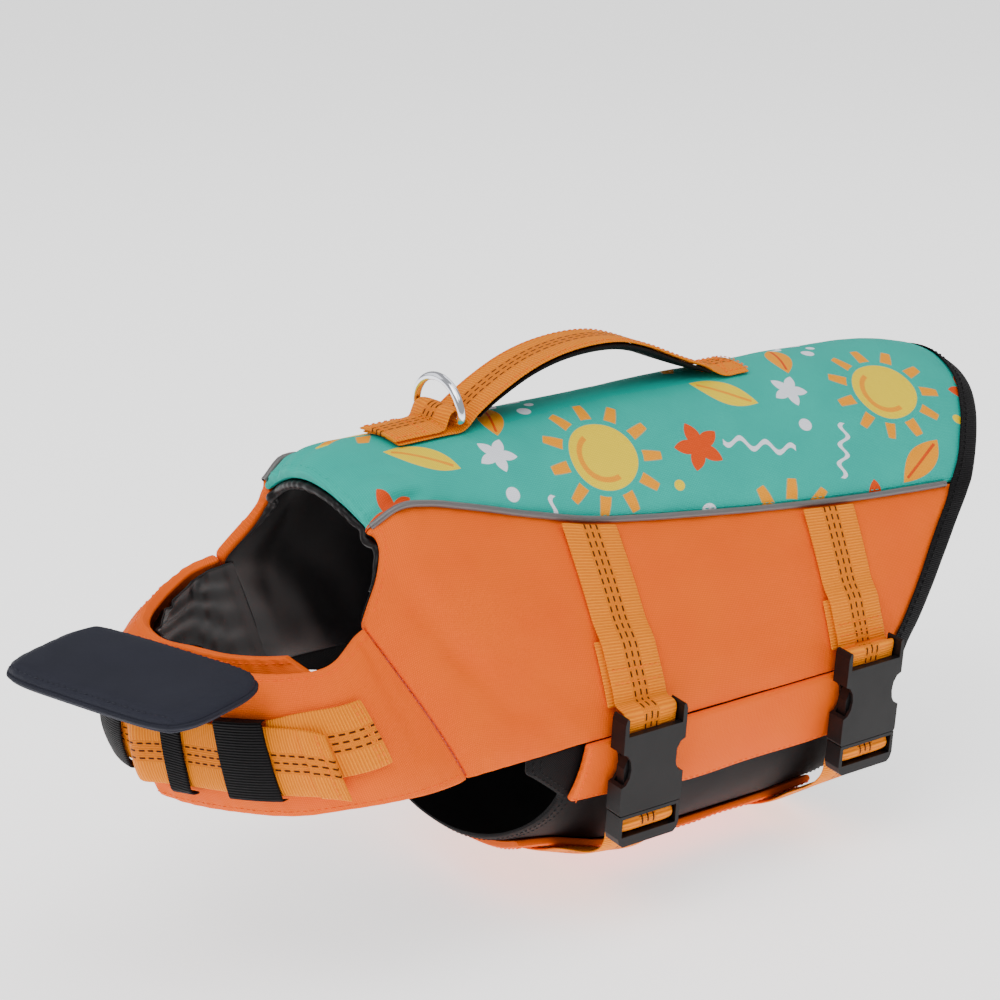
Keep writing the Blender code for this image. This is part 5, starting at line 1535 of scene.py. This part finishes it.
# ---------- belly
@dataclass
class BellyPanels:
    """The black panel under the body and the two flaps that lap over it, in mm and degrees."""

    rear_x: float = 216.5
    flap_front: float = 63.5
    left_turn: float = 22.5
    right_turn: float = 60.0
    panel_front: float = 63.0
    panel_bow: float = 11.0
    seam: float = math.degrees(SEAM_GAP / HIP_Y)

    def build(self) -> None:
        """Makes the panel, the flaps and their topstitching."""
        rows = StitchRows("stitches_flaps", Sewing(Stuff.THREAD_CLOTH, 2.8, 1.9, 0.2))
        self.build_flap(rows, "left", np.linspace(self.seam, self.left_turn, 14), 0.94, 81)
        self.build_flap(rows, "right", np.linspace(self.right_turn, 180.0 - self.seam, 64), 0.012, 82)
        rows.sew()
        self.build_panel()

    def build_flap(self, rows: StitchRows, name: str, turns: np.ndarray, hem: float, seed: int) -> None:
        """Makes one flap.

        Args:
            rows: Takes its topstitching.
            name: The side that it is sewn to.
            turns: Its places round the belly.
            hem: Share of its width where its free edge is stitched.
            seed: Picks its unevenness.
        """
        lines = np.linspace(self.flap_front, self.rear_x, 80)[:, None] + 0 * turns
        up = np.clip(1 - np.minimum(turns, 180.0 - turns) / self.left_turn, 0.0, 1.0)
        lines = lines + 5.0 * up * np.clip(1 - (lines - self.flap_front) / 11.0, 0, 1)
        surface = self.surface(lines, turns, 0.0, seed, 0.35)
        inner = belly_point(lines, turns[None, :], FLAP_THICK)
        made = wall(f"belly_flap_{name}", surface.points, inner, surface.uv, Stuff.ORANGE)
        as_sheet(made, surface.cut(), [f"belly_flap_{name}"])
        rows.on(surface, np.linspace(0.01, 0.99, 170), hem)
        for share in (0.016, 0.984):
            rows.on(surface, share, np.linspace(0.03, 0.97, 120))

    def build_panel(self) -> None:
        """Makes the black panel, whose front corners run forward along the belly seams."""
        turns = np.linspace(self.seam, 180.0 - self.seam, 92)
        corner = np.clip((np.abs(90.0 - turns) - 68.0) / 14.0, 0.0, 1.0)
        front = self.panel_front - self.panel_bow * np.sin(np.radians(turns)) ** 2
        front = front - CORNER_REACH * corner
        front = front - STRIP_REACH * np.clip((turns - 168.0) / 7.0, 0.0, 1.0)
        rear = np.full((1, len(turns)), self.rear_x)
        lines = lerp(front[None, :], rear, np.linspace(0, 1, 74)[:, None])
        inset = FLAP_THICK + SEAM_GAP + 0.1
        surface = self.surface(lines, turns, inset, 83, 0.3, -1.0)
        inner = belly_point(lines, turns[None, :], inset + BELLY_THICK)
        made = wall("belly_panel", surface.points, inner, surface.uv, Stuff.BLACK)
        as_sheet(made, surface.cut(), ["belly_panel"])
        hem = StitchRows("stitches_belly", Sewing(Stuff.THREAD_BLACK, 2.8, 1.9, 0.2))
        for share in (0.015, 0.035, 0.985):
            hem.on(surface, share, np.linspace(0.02, 0.98, 160))
        hem.sew()

    @staticmethod
    def surface(lines: np.ndarray, turns: np.ndarray, inset: float, seed: int, depth: float,
                sign: float = 0.0) -> Surface:
        """A stretch of the belly with slow, uneven hollows."""
        points = belly_point(lines, turns[None, :], inset)
        normals = outward(points, (130.0, 0.0, -5.0))
        uv = np.stack([lines, arcs(points, 1)], axis=-1)
        hills = rumple(uv[..., 0], uv[..., 1], 34.0, seed)
        near = np.minimum(np.abs(lines - FRONT_STRAP_X), np.abs(lines - REAR_STRAP_X))
        calm = np.clip((near - 12.0) / 8.0, 0.0, 1.0)
        height = depth * (hills + sign) * calm
        edge = np.minimum(uv[..., 0] - uv[:1, :, 0], uv[-1:, :, 0] - uv[..., 0])
        height = height - 0.4 * np.clip(1 - edge / 3.0, 0, 1) ** 2
        return Surface(points + normals * height[..., None], normals, uv)


# ---------- handle and ring
def across_web(count: int = 9) -> np.ndarray:
    """Places across a piece of webbing."""
    return np.linspace(-0.5, 0.5, count) * WEBBING


def saddle(x: np.ndarray, y: np.ndarray, lift: Amount) -> np.ndarray:
    """Places on the back at x and y, lifted off it."""
    x, y, lift = arrays(x, y, lift)
    seam_y = column(STATIONS, "seam_y", x)
    slope = 2 * (column(STATIONS, "ridge_z", x) - column(STATIONS, "seam_z", x)) * y / seam_y**2
    return back_point(x, y / seam_y) + np.stack([0 * x, 0 * x, lift * np.hypot(1.0, slope)], axis=-1)


def ring_axis_z() -> float:
    """Height of the ring's bar."""
    return float(column(STATIONS, "ridge_z", RING_X)) + 0.4 + WEB_THICK + SEAM_GAP + RING_WIRE / 2


@dataclass
class Handle:
    """The grab handle, its pad, the ring's tab and the ring, with places along the spine."""

    foot_x: tuple[float, float] = (30.0, 62.7)
    tail_x: tuple[float, float] = (187.0, 204.5)
    foot_lift: float = 0.4
    sewn_x: tuple[tuple[float, float], ...] = ((31.5, 45.0), (190.0, 203.0))
    pad_sewn_x: tuple[float, float] = (68.0, 178.0)
    pad_thick: float = 3.2
    ring_half_width: float = 14.9
    ring_rise: float = 12.8
    ring_foot: float = 1.5
    web_surface: Surface = field(init=False)

    def build(self) -> None:
        """Makes every piece of the handle."""
        self.build_web()
        self.build_tab()
        self.build_ring()

    def build_web(self) -> None:
        """One length of webbing sewn down at both ends, with the pad under its arch."""
        y = across_web()
        foot = saddle(np.linspace(*self.foot_x, 18)[:, None], y[None, :], self.foot_lift)
        tail = saddle(np.linspace(*self.tail_x, 10)[:, None], y[None, :], self.foot_lift)
        arch_x = np.linspace(HANDLE_ARCH[0].x, HANDLE_ARCH[-1].x, 70)
        arch_z = smooth([r.x for r in HANDLE_ARCH], [r.z for r in HANDLE_ARCH], arch_x)
        arch = np.stack(np.broadcast_arrays(arch_x[:, None], y[None, :], arch_z[:, None]), axis=-1)
        coarse = np.concatenate([foot[::3], arch[::4], tail[1::3]])
        under = np.stack([smooth_path(coarse[:, j], 130) for j in range(len(y))], axis=1)
        up = grid_normals(under)
        up = up * np.sign(up[..., 2:3])
        made, self.web_surface = web("handle_web", under, y, up, Stuff.WEB)
        as_sheet(made, self.web_surface.cut(), ["handle_web"])
        x = under[:, len(y) // 2, 0]
        pad = np.nonzero((x > HANDLE_ARCH[0].x - 2) & (x < HANDLE_ARCH[-1].x + 4))[0]
        top = under[pad] - up[pad] * SEAM_GAP
        along = np.sin(np.linspace(0.10, math.pi - 0.10, len(pad))) ** 0.4
        round_edge = np.sqrt(np.clip(1 - (np.abs(y) / (0.5 * WEBBING)) ** 6, 0, 1)) * 0.55 + 0.45
        thick = self.pad_thick * along[:, None] * round_edge[None, :]
        uv = np.stack([y + 0 * thick, arcs(top, 0).mean(axis=1, keepdims=True) + 0 * thick], axis=-1)
        made = wall("handle_pad", top - up[pad] * thick[..., None], top, uv, Stuff.BLACK_WEB)
        belong(made, ["handle_pad"])
        self.sew(x)

    def sew(self, x: np.ndarray) -> None:
        """Box and cross at each sewn end, and two rows that hold the pad."""
        rows = StitchRows("stitches_handle", Sewing(Stuff.THREAD_ORANGE, 2.6, 1.9, 0.24))
        total = len(x) - 1

        def at(place: float) -> float:
            return float(np.interp(place, x, np.arange(len(x)))) / total

        t = np.linspace(0, 1, 24)
        for low, high in self.sewn_x:
            a, b = at(low), at(high)
            for r0, c0, r1, c1 in ((a, .1, b, .1), (a, .9, b, .9), (a, .1, a, .9), (b, .1, b, .9),
                                   (a, .1, b, .9), (a, .9, b, .1)):
                rows.on(self.web_surface, lerp(r0, r1, t), lerp(c0, c1, t), 0.12)
        for share in (0.08, 0.92):
            run = np.linspace(at(self.pad_sewn_x[0]), at(self.pad_sewn_x[1]), 150)
            rows.on(self.web_surface, run, share, 0.12)
        rows.sew()

    def build_tab(self) -> None:
        """Webbing that runs over the bar of the ring and is sewn down before and behind it."""
        y = across_web() * 0.985
        low, over = self.foot_lift + WEB_THICK + 0.05, RING_WIRE + 2 * SEAM_GAP + 0.45
        rise = ((-7.5, 0.0), (-5.0, 0.10), (-3.4, 0.55), (-1.9, 0.98), (0.0, 1.10), (1.9, 0.98),
                (3.4, 0.55), (5.0, 0.10), (6.4, 0.0))
        places = np.array([28.5, 32.0, 38.0, 43.0] + [RING_X + step for step, _ in rise])
        lifts = low + np.array([0.0] * 4 + [share * over for _, share in rise])
        under = saddle(places[:, None], y[None, :], lifts[:, None])
        centre_z = saddle(places, 0.0, lifts)[:, 2]
        raised = np.clip((lifts - low) / over, 0.0, 1.0)[:, None]
        under[..., 2] = lerp(under[..., 2], centre_z[:, None], raised)
        under = np.stack([smooth_path(under[:, j], 56) for j in range(len(y))], axis=1)
        up = grid_normals(under)
        up = up * np.sign(up[..., 2:3])
        made, surface = web("ring_tab", under, y, up, Stuff.WEB)
        as_sheet(made, surface.cut())
        rows = StitchRows("stitches_tab", Sewing(Stuff.THREAD_ORANGE, 2.4, 1.8, 0.24))
        t = np.linspace(0.08, 0.92, 30)
        for share in (0.04, 0.36, 0.56):
            rows.on(surface, share, t, 0.12)
        for share in (0.08, 0.92):
            rows.on(surface, lerp(0.04, 0.36, t), share, 0.12)
        rows.sew()

    def build_ring(self) -> None:
        """The D ring, its bar across the spine and its bow standing up."""
        turn = np.linspace(0.0, math.pi, 60)
        bow = np.stack([0 * turn, self.ring_half_width * np.cos(turn),
                        self.ring_foot + self.ring_rise * np.sin(turn)], axis=1)
        corner = [(14.6, 0.72), (14.0, 0.22), (13.2, 0.0), (8.0, 0.0)]
        bar = np.array([(0.0, -y, z) for y, z in corner] + [(0.0, 0.0, 0.0)]
                       + [(0.0, y, z) for y, z in corner[::-1]])
        path = np.concatenate([bow, bar]) + np.array([RING_X, 0.0, ring_axis_z()])
        made = tube("d_ring", path, RING_WIRE / 2, Stuff.CHROME, 24, closed=True)
        belong(made, ["d_ring"], "ring")


# ---------- straps, buckles
BUCKLE_Y = -83.6
BUCKLE_TILT = math.radians(6.0)
STRAP_ENTRY = ((-3.0, -0.75), (2.0, -0.75), (7.2, -0.75))
WEB_LOOP = (
    (38.9, -5.6), (38.9, -3.0), (38.8, -0.8), (38.9, 1.4), (40.0, 2.5), (42.6, 2.5),
    (43.9, 1.4), (44.2, -1.0), (44.25, -4.3), (45.3, -6.0), (47.5, -6.5), (50.5, -6.7),
)


def buckle_place(strap_x: float, u: float, v: float, w: float) -> np.ndarray:
    """A place on a buckle: u along the body, v down from the strap entry, w out from it."""
    u, v, w = arrays(u, v, w)
    sin, cos = math.sin(BUCKLE_TILT), math.cos(BUCKLE_TILT)
    return np.stack([strap_x + u, BUCKLE_Y + v * sin - w * cos, -v * cos - w * sin], axis=-1)


@dataclass
class Strap:
    """A body strap: its upper webbing with the turned back end, its buckle and the lower webbing."""

    name: str
    x: float

    def build(self) -> None:
        """Makes the strap's pieces."""
        rows = StitchRows(f"stitches_{self.name}", Sewing(Stuff.THREAD_ORANGE, 2.5, 1.8, 0.24))
        self.build_upper(rows)
        self.build_return()
        self.build_under()
        rows.sew()
        for half in ("female", "male"):
            self.build_buckle(f"buckle_{self.name}_{half}")

    def build_upper(self, rows: StitchRows) -> None:
        """Webbing down the side panel into the female's slot."""
        b = np.array([0.035, 0.09, 0.135, 0.24, 0.343, 0.42, 0.48, 0.52, 0.56, 0.60, 0.66, 0.724, 0.80,
                      0.862])
        double = np.clip((b - 0.50) / 0.09, 0.0, 1.0)
        lift = 0.6 + double * (WEB_THICK + 0.4) + np.clip((b - 0.7) / 0.16, 0.0, 1.0) * 0.6
        outs = side_normals(self.x, b, LEFT)
        y = across_web()
        lines = []
        for shift in y:
            line = side_point(self.x + shift, b, LEFT) + outs * lift[:, None]
            entry = np.stack([buckle_place(self.x, shift, v, w) for v, w in STRAP_ENTRY])
            lines.append(smooth_path(np.concatenate([line, entry]), 120))
        under = np.stack(lines, axis=1)
        out = grid_normals(under)
        out = out * np.sign(-out[..., 1:2])
        made, surface = web(f"strap_{self.name}", under, y, out, Stuff.WEB)
        as_sheet(made, surface.cut(), [f"strap_{self.name}"])
        t = np.linspace(0.10, 0.90, 22)
        for share in (0.66, 0.72):
            rows.on(surface, share, t, 0.12)

    def build_return(self) -> None:
        """The strap's end, turned back from the buckle and sewn under the strap."""
        b = np.linspace(0.575, 0.865, 40)
        y = across_web()
        outs = side_normals(self.x, b, LEFT)
        under = np.stack([side_point(self.x + s - 1.8, b, LEFT) + outs * 0.5 for s in y], axis=1)
        out = np.repeat(outs[:, None], len(y), axis=1)
        made, surface = web(f"strap_{self.name}_return", under, y, out, Stuff.WEB)
        as_sheet(made, surface.cut())

    def build_under(self) -> None:
        """Webbing from the male's bar under the belly and up the right side panel."""
        middle = WEB_THICK / 2
        lift = 0.8 + middle
        start = buckle_place(self.x, 0.0, *WEB_LOOP[-1])
        turns = np.arange(7.5 * math.ceil(self.touch(start, lift) / 7.5), 180.0, 7.5)
        b = np.array([0.954, 0.862, 0.724, 0.593, 0.474, 0.343, 0.24, 0.135, 0.06])
        y = across_web()
        lines = []
        for shift in y:
            line = [buckle_place(self.x, shift, v, w) for v, w in WEB_LOOP]
            line += [belly_out(self.x + shift, turn, lift) for turn in turns]
            rise = side_point(self.x + shift, b, RIGHT) + side_normals(self.x, b, RIGHT) * (lift + 0.2)
            lines.append(smooth_path(np.concatenate([np.array(line), rise]), 260))
        path = np.stack(lines, axis=1)
        ahead = unit(np.gradient(path[:, len(y) // 2], axis=0))
        out = np.repeat(unit(np.cross(ahead, (1.0, 0.0, 0.0)))[:, None], len(y), axis=1)
        made, surface = web(f"under_strap_{self.name}", path - out * middle, y, out, Stuff.WEB)
        as_sheet(made, surface.cut(), [f"under_strap_{self.name}"])

    def touch(self, start: np.ndarray, lift: float) -> float:
        """The first place on the belly that a tight strap from the start point touches."""
        for turn in np.arange(20.0, 100.0, 1.0):
            here, ahead = belly_out(self.x, turn, lift), belly_out(self.x, turn + 1.0, lift)
            span, step = here - start, ahead - here
            if span[1] * step[2] - span[2] * step[1] >= 0:
                return float(turn)
        return 100.0

    @staticmethod
    def build_buckle(node: str) -> None:
        """One half of the buckle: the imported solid's shape with its edges rounded."""
        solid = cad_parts[node]
        solid = bpy.data.objects[solid] if isinstance(solid, str) else solid
        mesh = solid.data.copy()
        mesh.name = f"{node}_moulded"
        mesh.materials.clear()
        mesh.materials.append(Stuff.PLASTIC.material)
        mesh.shade_smooth()
        made = placed(f"{node}_moulded", mesh)
        change = made.modifiers.new("round edges", "BEVEL")
        change.width, change.segments, change.limit_method = 0.45 * MM, 3, "ANGLE"
        change.angle_limit = math.radians(28.0)
        change.harden_normals = True
        belong(made, [node])


# ---------- chest closure and float
def belt_grid(points: Sequence[BeltPoint], ribs: Sequence[Rib], across: np.ndarray,
              lifts: Amount) -> tuple[np.ndarray, np.ndarray]:
    """Grid over a wing that follows a belt: offsets down the wing in mm, and their lifts."""
    rib = np.array([p.rib for p in points])[:, None]
    depth = np.array([p.depth for p in points])[:, None]
    length = np.linalg.norm(wing_point(ribs, rib, 1.0) - wing_point(ribs, rib, 0.0), axis=-1)
    down = depth + np.asarray(across, float)[None, :] / length
    rib = np.broadcast_to(rib, down.shape)
    small = 0.04
    side = np.minimum(rib + small, len(ribs) - 1.0)
    along = wing_point(ribs, side, down) - wing_point(ribs, side - 2 * small, down)
    fall = wing_point(ribs, rib, down + small) - wing_point(ribs, rib, down - small)
    out = unit(np.cross(fall, along))
    place = wing_point(ribs, rib, down)
    out = out * np.sign(np.sum(out * (place - np.array([0.0, 0.0, 15.0])), axis=-1))[..., None]
    return place + out * np.broadcast_to(np.asarray(lifts, float), down.shape)[..., None], out


def finer_belt(points: Sequence[BeltPoint], count: int) -> list[BeltPoint]:
    """The belt's places, read as a smooth run."""
    number = np.arange(len(points))
    at = np.linspace(0, len(points) - 1, count)
    ribs = smooth(number, [p.rib for p in points], at)
    depths = smooth(number, [p.depth for p in points], at)
    return [BeltPoint(float(r), float(d)) for r, d in zip(ribs, depths)]


TAPE_THICK = 1.1
BELT_LOW = 0.9
BELT_OVER = BELT_LOW + WEB_THICK + 0.1
FLOAT_CENTRE = np.array([-86.6, -15.8, 38.0])
FLOAT_YAW, FLOAT_TILT = math.radians(15.0), math.radians(4.6)
FLOAT_LENGTH, FLOAT_WIDTH, FLOAT_THICK = 93.5, 47.0, 8.6
FLOAT_RIM_DROP = 1.1      # how far its seam lies below its middle


@dataclass
class Chest:
    """The chest closure's webbing and keepers, and the chin float with its tabs."""

    def build(self) -> None:
        """Makes every piece of the chest."""
        self.build_strap()
        self.build_keeper()
        self.build_float()
        self.build_tabs()

    def build_strap(self) -> None:
        """The sewn patch, and the adjusting strap that runs round the chest."""
        y = across_web()
        grid, out = belt_grid(finer_belt(PATCH, 50), LEFT_RIBS, y, BELT_LOW)
        made, patch = web("chest_patch", grid, y, out, Stuff.WEB)
        as_sheet(made, patch.cut())
        near, out_near = belt_grid(finer_belt(BELT_LEFT, 100), LEFT_RIBS, y, BELT_OVER)
        far, _ = belt_grid(finer_belt(BELT_RIGHT, 56), RIGHT_RIBS, y, BELT_LOW)
        coarse = np.concatenate([near[::6], far[::6]])
        path = np.stack([smooth_path(coarse[:, j], 190) for j in range(len(y))], axis=1)
        out = grid_normals(path)
        out = out * np.sign(np.sum(out[0, 4] * out_near[0, 4]))
        made, surface = web("chest_strap", path, y, out, Stuff.WEB)
        as_sheet(made, surface.cut(), ["chest_strap"])
        end = path[:12] + out[:12] * (WEB_THICK + 0.15)
        made, fold = web("chest_strap_end", end, y, out[:12], Stuff.WEB, 1.4)
        as_sheet(made, fold.cut())
        rows = StitchRows("stitches_chest", Sewing(Stuff.THREAD_ORANGE, 2.5, 1.8, 0.24))
        t = np.linspace(0.07, 0.93, 40)
        for share in (0.05, 0.10):
            rows.on(patch, share, t, 0.12)
        rows.on(fold, 0.35, t, 0.12)
        rows.sew()

    def build_keeper(self) -> None:
        """A band of black webbing over the chest strap, turned in at both of its edges."""
        edge = WEBBING / 2
        ribs = np.linspace(4.2, 5.8, 28)
        depths = np.interp(ribs, [p.rib for p in BELT_LEFT], [p.depth for p in BELT_LEFT])
        knots = np.array([-edge - 2.0, -edge - 1.5, -edge - 0.9, -edge * 0.5, 0, edge * 0.5, edge + 0.9,
                          edge + 1.5, edge + 2.0])
        high = BELT_OVER + WEB_THICK + 0.35
        lifts = np.array([0.6, 0.9 * high, high, high, high, high, high, 0.9 * high, 0.6])
        at = np.linspace(0, len(knots) - 1, 33)
        across = np.interp(at, np.arange(len(knots)), knots)
        lift = np.interp(at, np.arange(len(knots)), lifts)
        points = [BeltPoint(float(r), float(d)) for r, d in zip(ribs, depths)]
        grid, out = belt_grid(points, LEFT_RIBS, across, lift)
        tape = Surface.tape(grid, out)
        made = wall("keeper_wide", grid + out * TAPE_THICK, grid, tape.uv, Stuff.BLACK_WEB)
        as_sheet(made, tape.cut(), ["keeper_wide"])

    @staticmethod
    def float_frame() -> tuple[np.ndarray, np.ndarray, np.ndarray]:
        """Directions of the chin float: along it, across it and out of its top."""
        along = np.array([-math.sin(FLOAT_YAW), math.cos(FLOAT_YAW), 0.0])
        level = np.array([math.cos(FLOAT_YAW), math.sin(FLOAT_YAW), 0.0])
        across = level * math.cos(FLOAT_TILT) + np.array([0.0, 0.0, math.sin(FLOAT_TILT)])
        top = np.cross(across, along)
        return along, across, top * np.sign(top[2])

    def build_float(self) -> None:
        """Flat padded float with round corners, a seam round its lower edge and soft dents."""
        along, across, top = self.float_frame()
        u, v = 2 * spread(52, 0.75) - 1, 2 * spread(36, 0.75) - 1
        uu, vv = np.meshgrid(u, v, indexing="ij")
        place_u = FLOAT_LENGTH / 2 * uu * np.sqrt(1 - 0.24 * vv**4)
        place_v = FLOAT_WIDTH / 2 * vv * np.sqrt(1 - 0.24 * uu**6)
        reach = np.maximum(np.abs(uu), np.abs(vv))
        half = 0.9 + (FLOAT_THICK / 2 - 0.9) * (1 - reach**7) ** 0.5
        dents = 0.35 * rumple(place_u, place_v, 40.0, 91) * (1 - reach**4)
        edge = np.clip((reach - 0.86) / 0.14, 0, 1)
        pucker = 0.25 * edge * np.sin(2 * math.pi * (place_u + place_v) / 6.5)
        middle = FLOAT_CENTRE + place_u[..., None] * along + place_v[..., None] * across
        middle = middle - top * FLOAT_RIM_DROP * edge[..., None]
        uv = np.stack([place_u, place_v], axis=-1)
        outer = middle + top * (half + dents + pucker)[..., None]
        inner = middle - top * (half + 0.5 * dents)[..., None]
        made = wall("chin_float", outer, inner, uv, Stuff.FLOAT)
        belong(made, ["chin_float"])
        rows = StitchRows("stitches_float", Sewing(Stuff.THREAD_SLATE, 2.8, 1.9, 0.2))
        t = np.linspace(0.06, 0.94, 110)
        surface = Surface(outer, np.broadcast_to(top, outer.shape), uv)
        for share in (0.10, 0.90):
            rows.on(surface, t, share, 0.1)
        rows.sew()
        self.build_float_piping(middle)

    @staticmethod
    def build_float_piping(middle: np.ndarray) -> None:
        """The raised seam that runs round the float's rim."""
        rim = [*middle[0], *middle[1:, -1], *middle[-1, -2::-1], *middle[-2:0:-1, 0]]
        path = smooth_path([*rim, rim[0]], 260)[:-1]
        made = tube("float_seam", path, 0.95, Stuff.FLOAT, 10, closed=True, hollow=0.4)
        as_sheet(made, Cut.rolled(6.0, length_of(path)))

    def build_tabs(self) -> None:
        """Black tabs that hang from under the float and turn in below the chest strap."""
        along, across, top = self.float_frame()
        edge = WEBBING / 2
        down = np.array([-edge + 1.0, 0.0, edge - 1.0, edge + 1.2, edge + 2.4])
        for name, ribs, rib, depth, half, lift in (
            ("float_tab", LEFT_RIBS, 7.42, 0.577, 0.36, BELT_OVER + WEB_THICK + 0.4),
            ("keeper_far", RIGHT_RIBS, 5.45, 0.68, 0.40, BELT_LOW + WEB_THICK + 1.1),
        ):
            turn = np.array([lift, lift, lift, lift, 0.7])
            points = [BeltPoint(rib + s * half, depth) for s in np.linspace(-1.0, 1.0, 9)]
            grid, out = belt_grid(points, ribs, down, turn)
            reach = np.sum((grid[:, 0] - FLOAT_CENTRE) * along, axis=-1)[:, None] * along
            hang = FLOAT_CENTRE + reach - top * (FLOAT_THICK / 2 + 0.4)
            hang = hang + across * (FLOAT_WIDTH / 2 - 3.0)
            grid = np.concatenate([(hang - across * 9.0)[:, None], hang[:, None], grid], axis=1)
            out = np.concatenate([np.broadcast_to(-top, (len(hang), 2, 3)), out], axis=1)
            fine = np.stack([smooth_path(line, 44) for line in grid])
            normal = grid_normals(fine)
            normal = normal * np.sign(np.sum(normal[4, 22] * out[4, 3]))
            tape = Surface.tape(fine, normal)
            made = wall(name, fine + normal * TAPE_THICK, fine, tape.uv, Stuff.BLACK_WEB)
            as_sheet(made, tape.cut(), [name])


# ---------- stage
@dataclass(frozen=True)
class Lamp:
    """One soft light: its direction from the jacket in degrees, its distance and size in metres."""

    azimuth: float
    elevation: float
    distance: float
    size: float
    power: float


LAMPS = (
    Lamp(-70, 50, 1.7, 1.2, 17),
    Lamp(10, 68, 1.7, 1.5, 12),
    Lamp(-150, 25, 1.8, 1.1, 4),
    Lamp(120, 45, 1.8, 1.2, 6),
)


@dataclass(frozen=True)
class Camera:
    """The camera's place in the row's frame, its turn in degrees and its lens."""

    place: tuple[float, float, float] = (-0.63435, -0.78300, 0.27230)
    heading: float = 35.7
    fall: float = 17.2
    roll: float = -0.7
    lens: float = 93.8

    def add(self) -> None:
        """Adds the camera and makes it the scene's."""
        th, e, roll = (math.radians(a) for a in (self.heading, self.fall, self.roll))
        right = Vector((math.cos(th), -math.sin(th), 0.0))
        view = Vector((math.sin(th) * math.cos(e), math.cos(th) * math.cos(e), -math.sin(e)))
        up = right.cross(view)
        c, s = math.cos(roll), math.sin(roll)
        right, up = c * right + s * up, -s * right + c * up
        data = bpy.data.cameras.new("camera")
        data.lens, data.sensor_width = self.lens, 36.0
        data.clip_start, data.clip_end = 0.01, 50.0
        camera = placed("camera", data)
        turn = Matrix((right, up, -view)).transposed()
        camera.matrix_world = Matrix.Translation(self.place) @ turn.to_4x4()
        bpy.context.scene.camera = camera


@dataclass(frozen=True)
class Studio:
    """A wide pale floor, a white surround and the soft lights."""

    half_width: float = 14.0
    floor_glow: float = 1.3
    surround: float = 0.42
    lamps: tuple[Lamp, ...] = LAMPS

    def add_floor(self, height: float) -> None:
        """Adds the floor at a height, under the lowest piece."""
        mesh = bpy.data.meshes.new("floor")
        wide = self.half_width
        corners = ((-wide, -wide), (wide, -wide), (wide, wide), (-wide, wide))
        mesh.from_pydata([(x, y, height) for x, y in corners], [], [(0, 1, 2, 3)])
        mesh.materials.append(Graph("pale_floor").finish(
            Base_Color=Ink.FLOOR, Roughness=0.9, Specular_IOR_Level=0.1,
            Emission_Color=Ink.FLOOR, Emission_Strength=self.floor_glow))
        placed("floor", mesh)

    def add_light(self) -> None:
        """Adds the surround and the lights."""
        world = bpy.data.worlds.new("studio")
        world.use_nodes = True
        background = world.node_tree.nodes["Background"]
        background.inputs["Color"].default_value = (1.0, 1.0, 1.0, 1.0)
        background.inputs["Strength"].default_value = self.surround
        bpy.context.scene.world = world
        for number, lamp in enumerate(self.lamps):
            turn, rise = math.radians(lamp.azimuth), math.radians(lamp.elevation)
            data = bpy.data.lights.new(f"soft_light_{number}", "AREA")
            data.energy, data.size = lamp.power, lamp.size
            light = placed(data.name, data)
            level = math.cos(rise)
            place = Vector((math.sin(turn) * level, -math.cos(turn) * level, math.sin(rise)))
            light.location = place * lamp.distance
            light.rotation_euler = (-place).to_track_quat("-Z", "Y").to_euler()


def main() -> None:
    """Builds the finished jacket over its solids, and the studio round it."""
    logging.basicConfig(level=logging.INFO, format="%(message)s")
    Camera().add()
    Shell().build()
    BellyPanels().build()
    Handle().build()
    for name, x in (("front", FRONT_STRAP_X), ("rear", REAR_STRAP_X)):
        Strap(name, x).build()
    Chest().build()
    studio = Studio()
    studio.add_floor(float(CAD_BOUNDS[0][2]) - 0.5 * MM)
    studio.add_light()


if __name__ == "__main__":
    main()
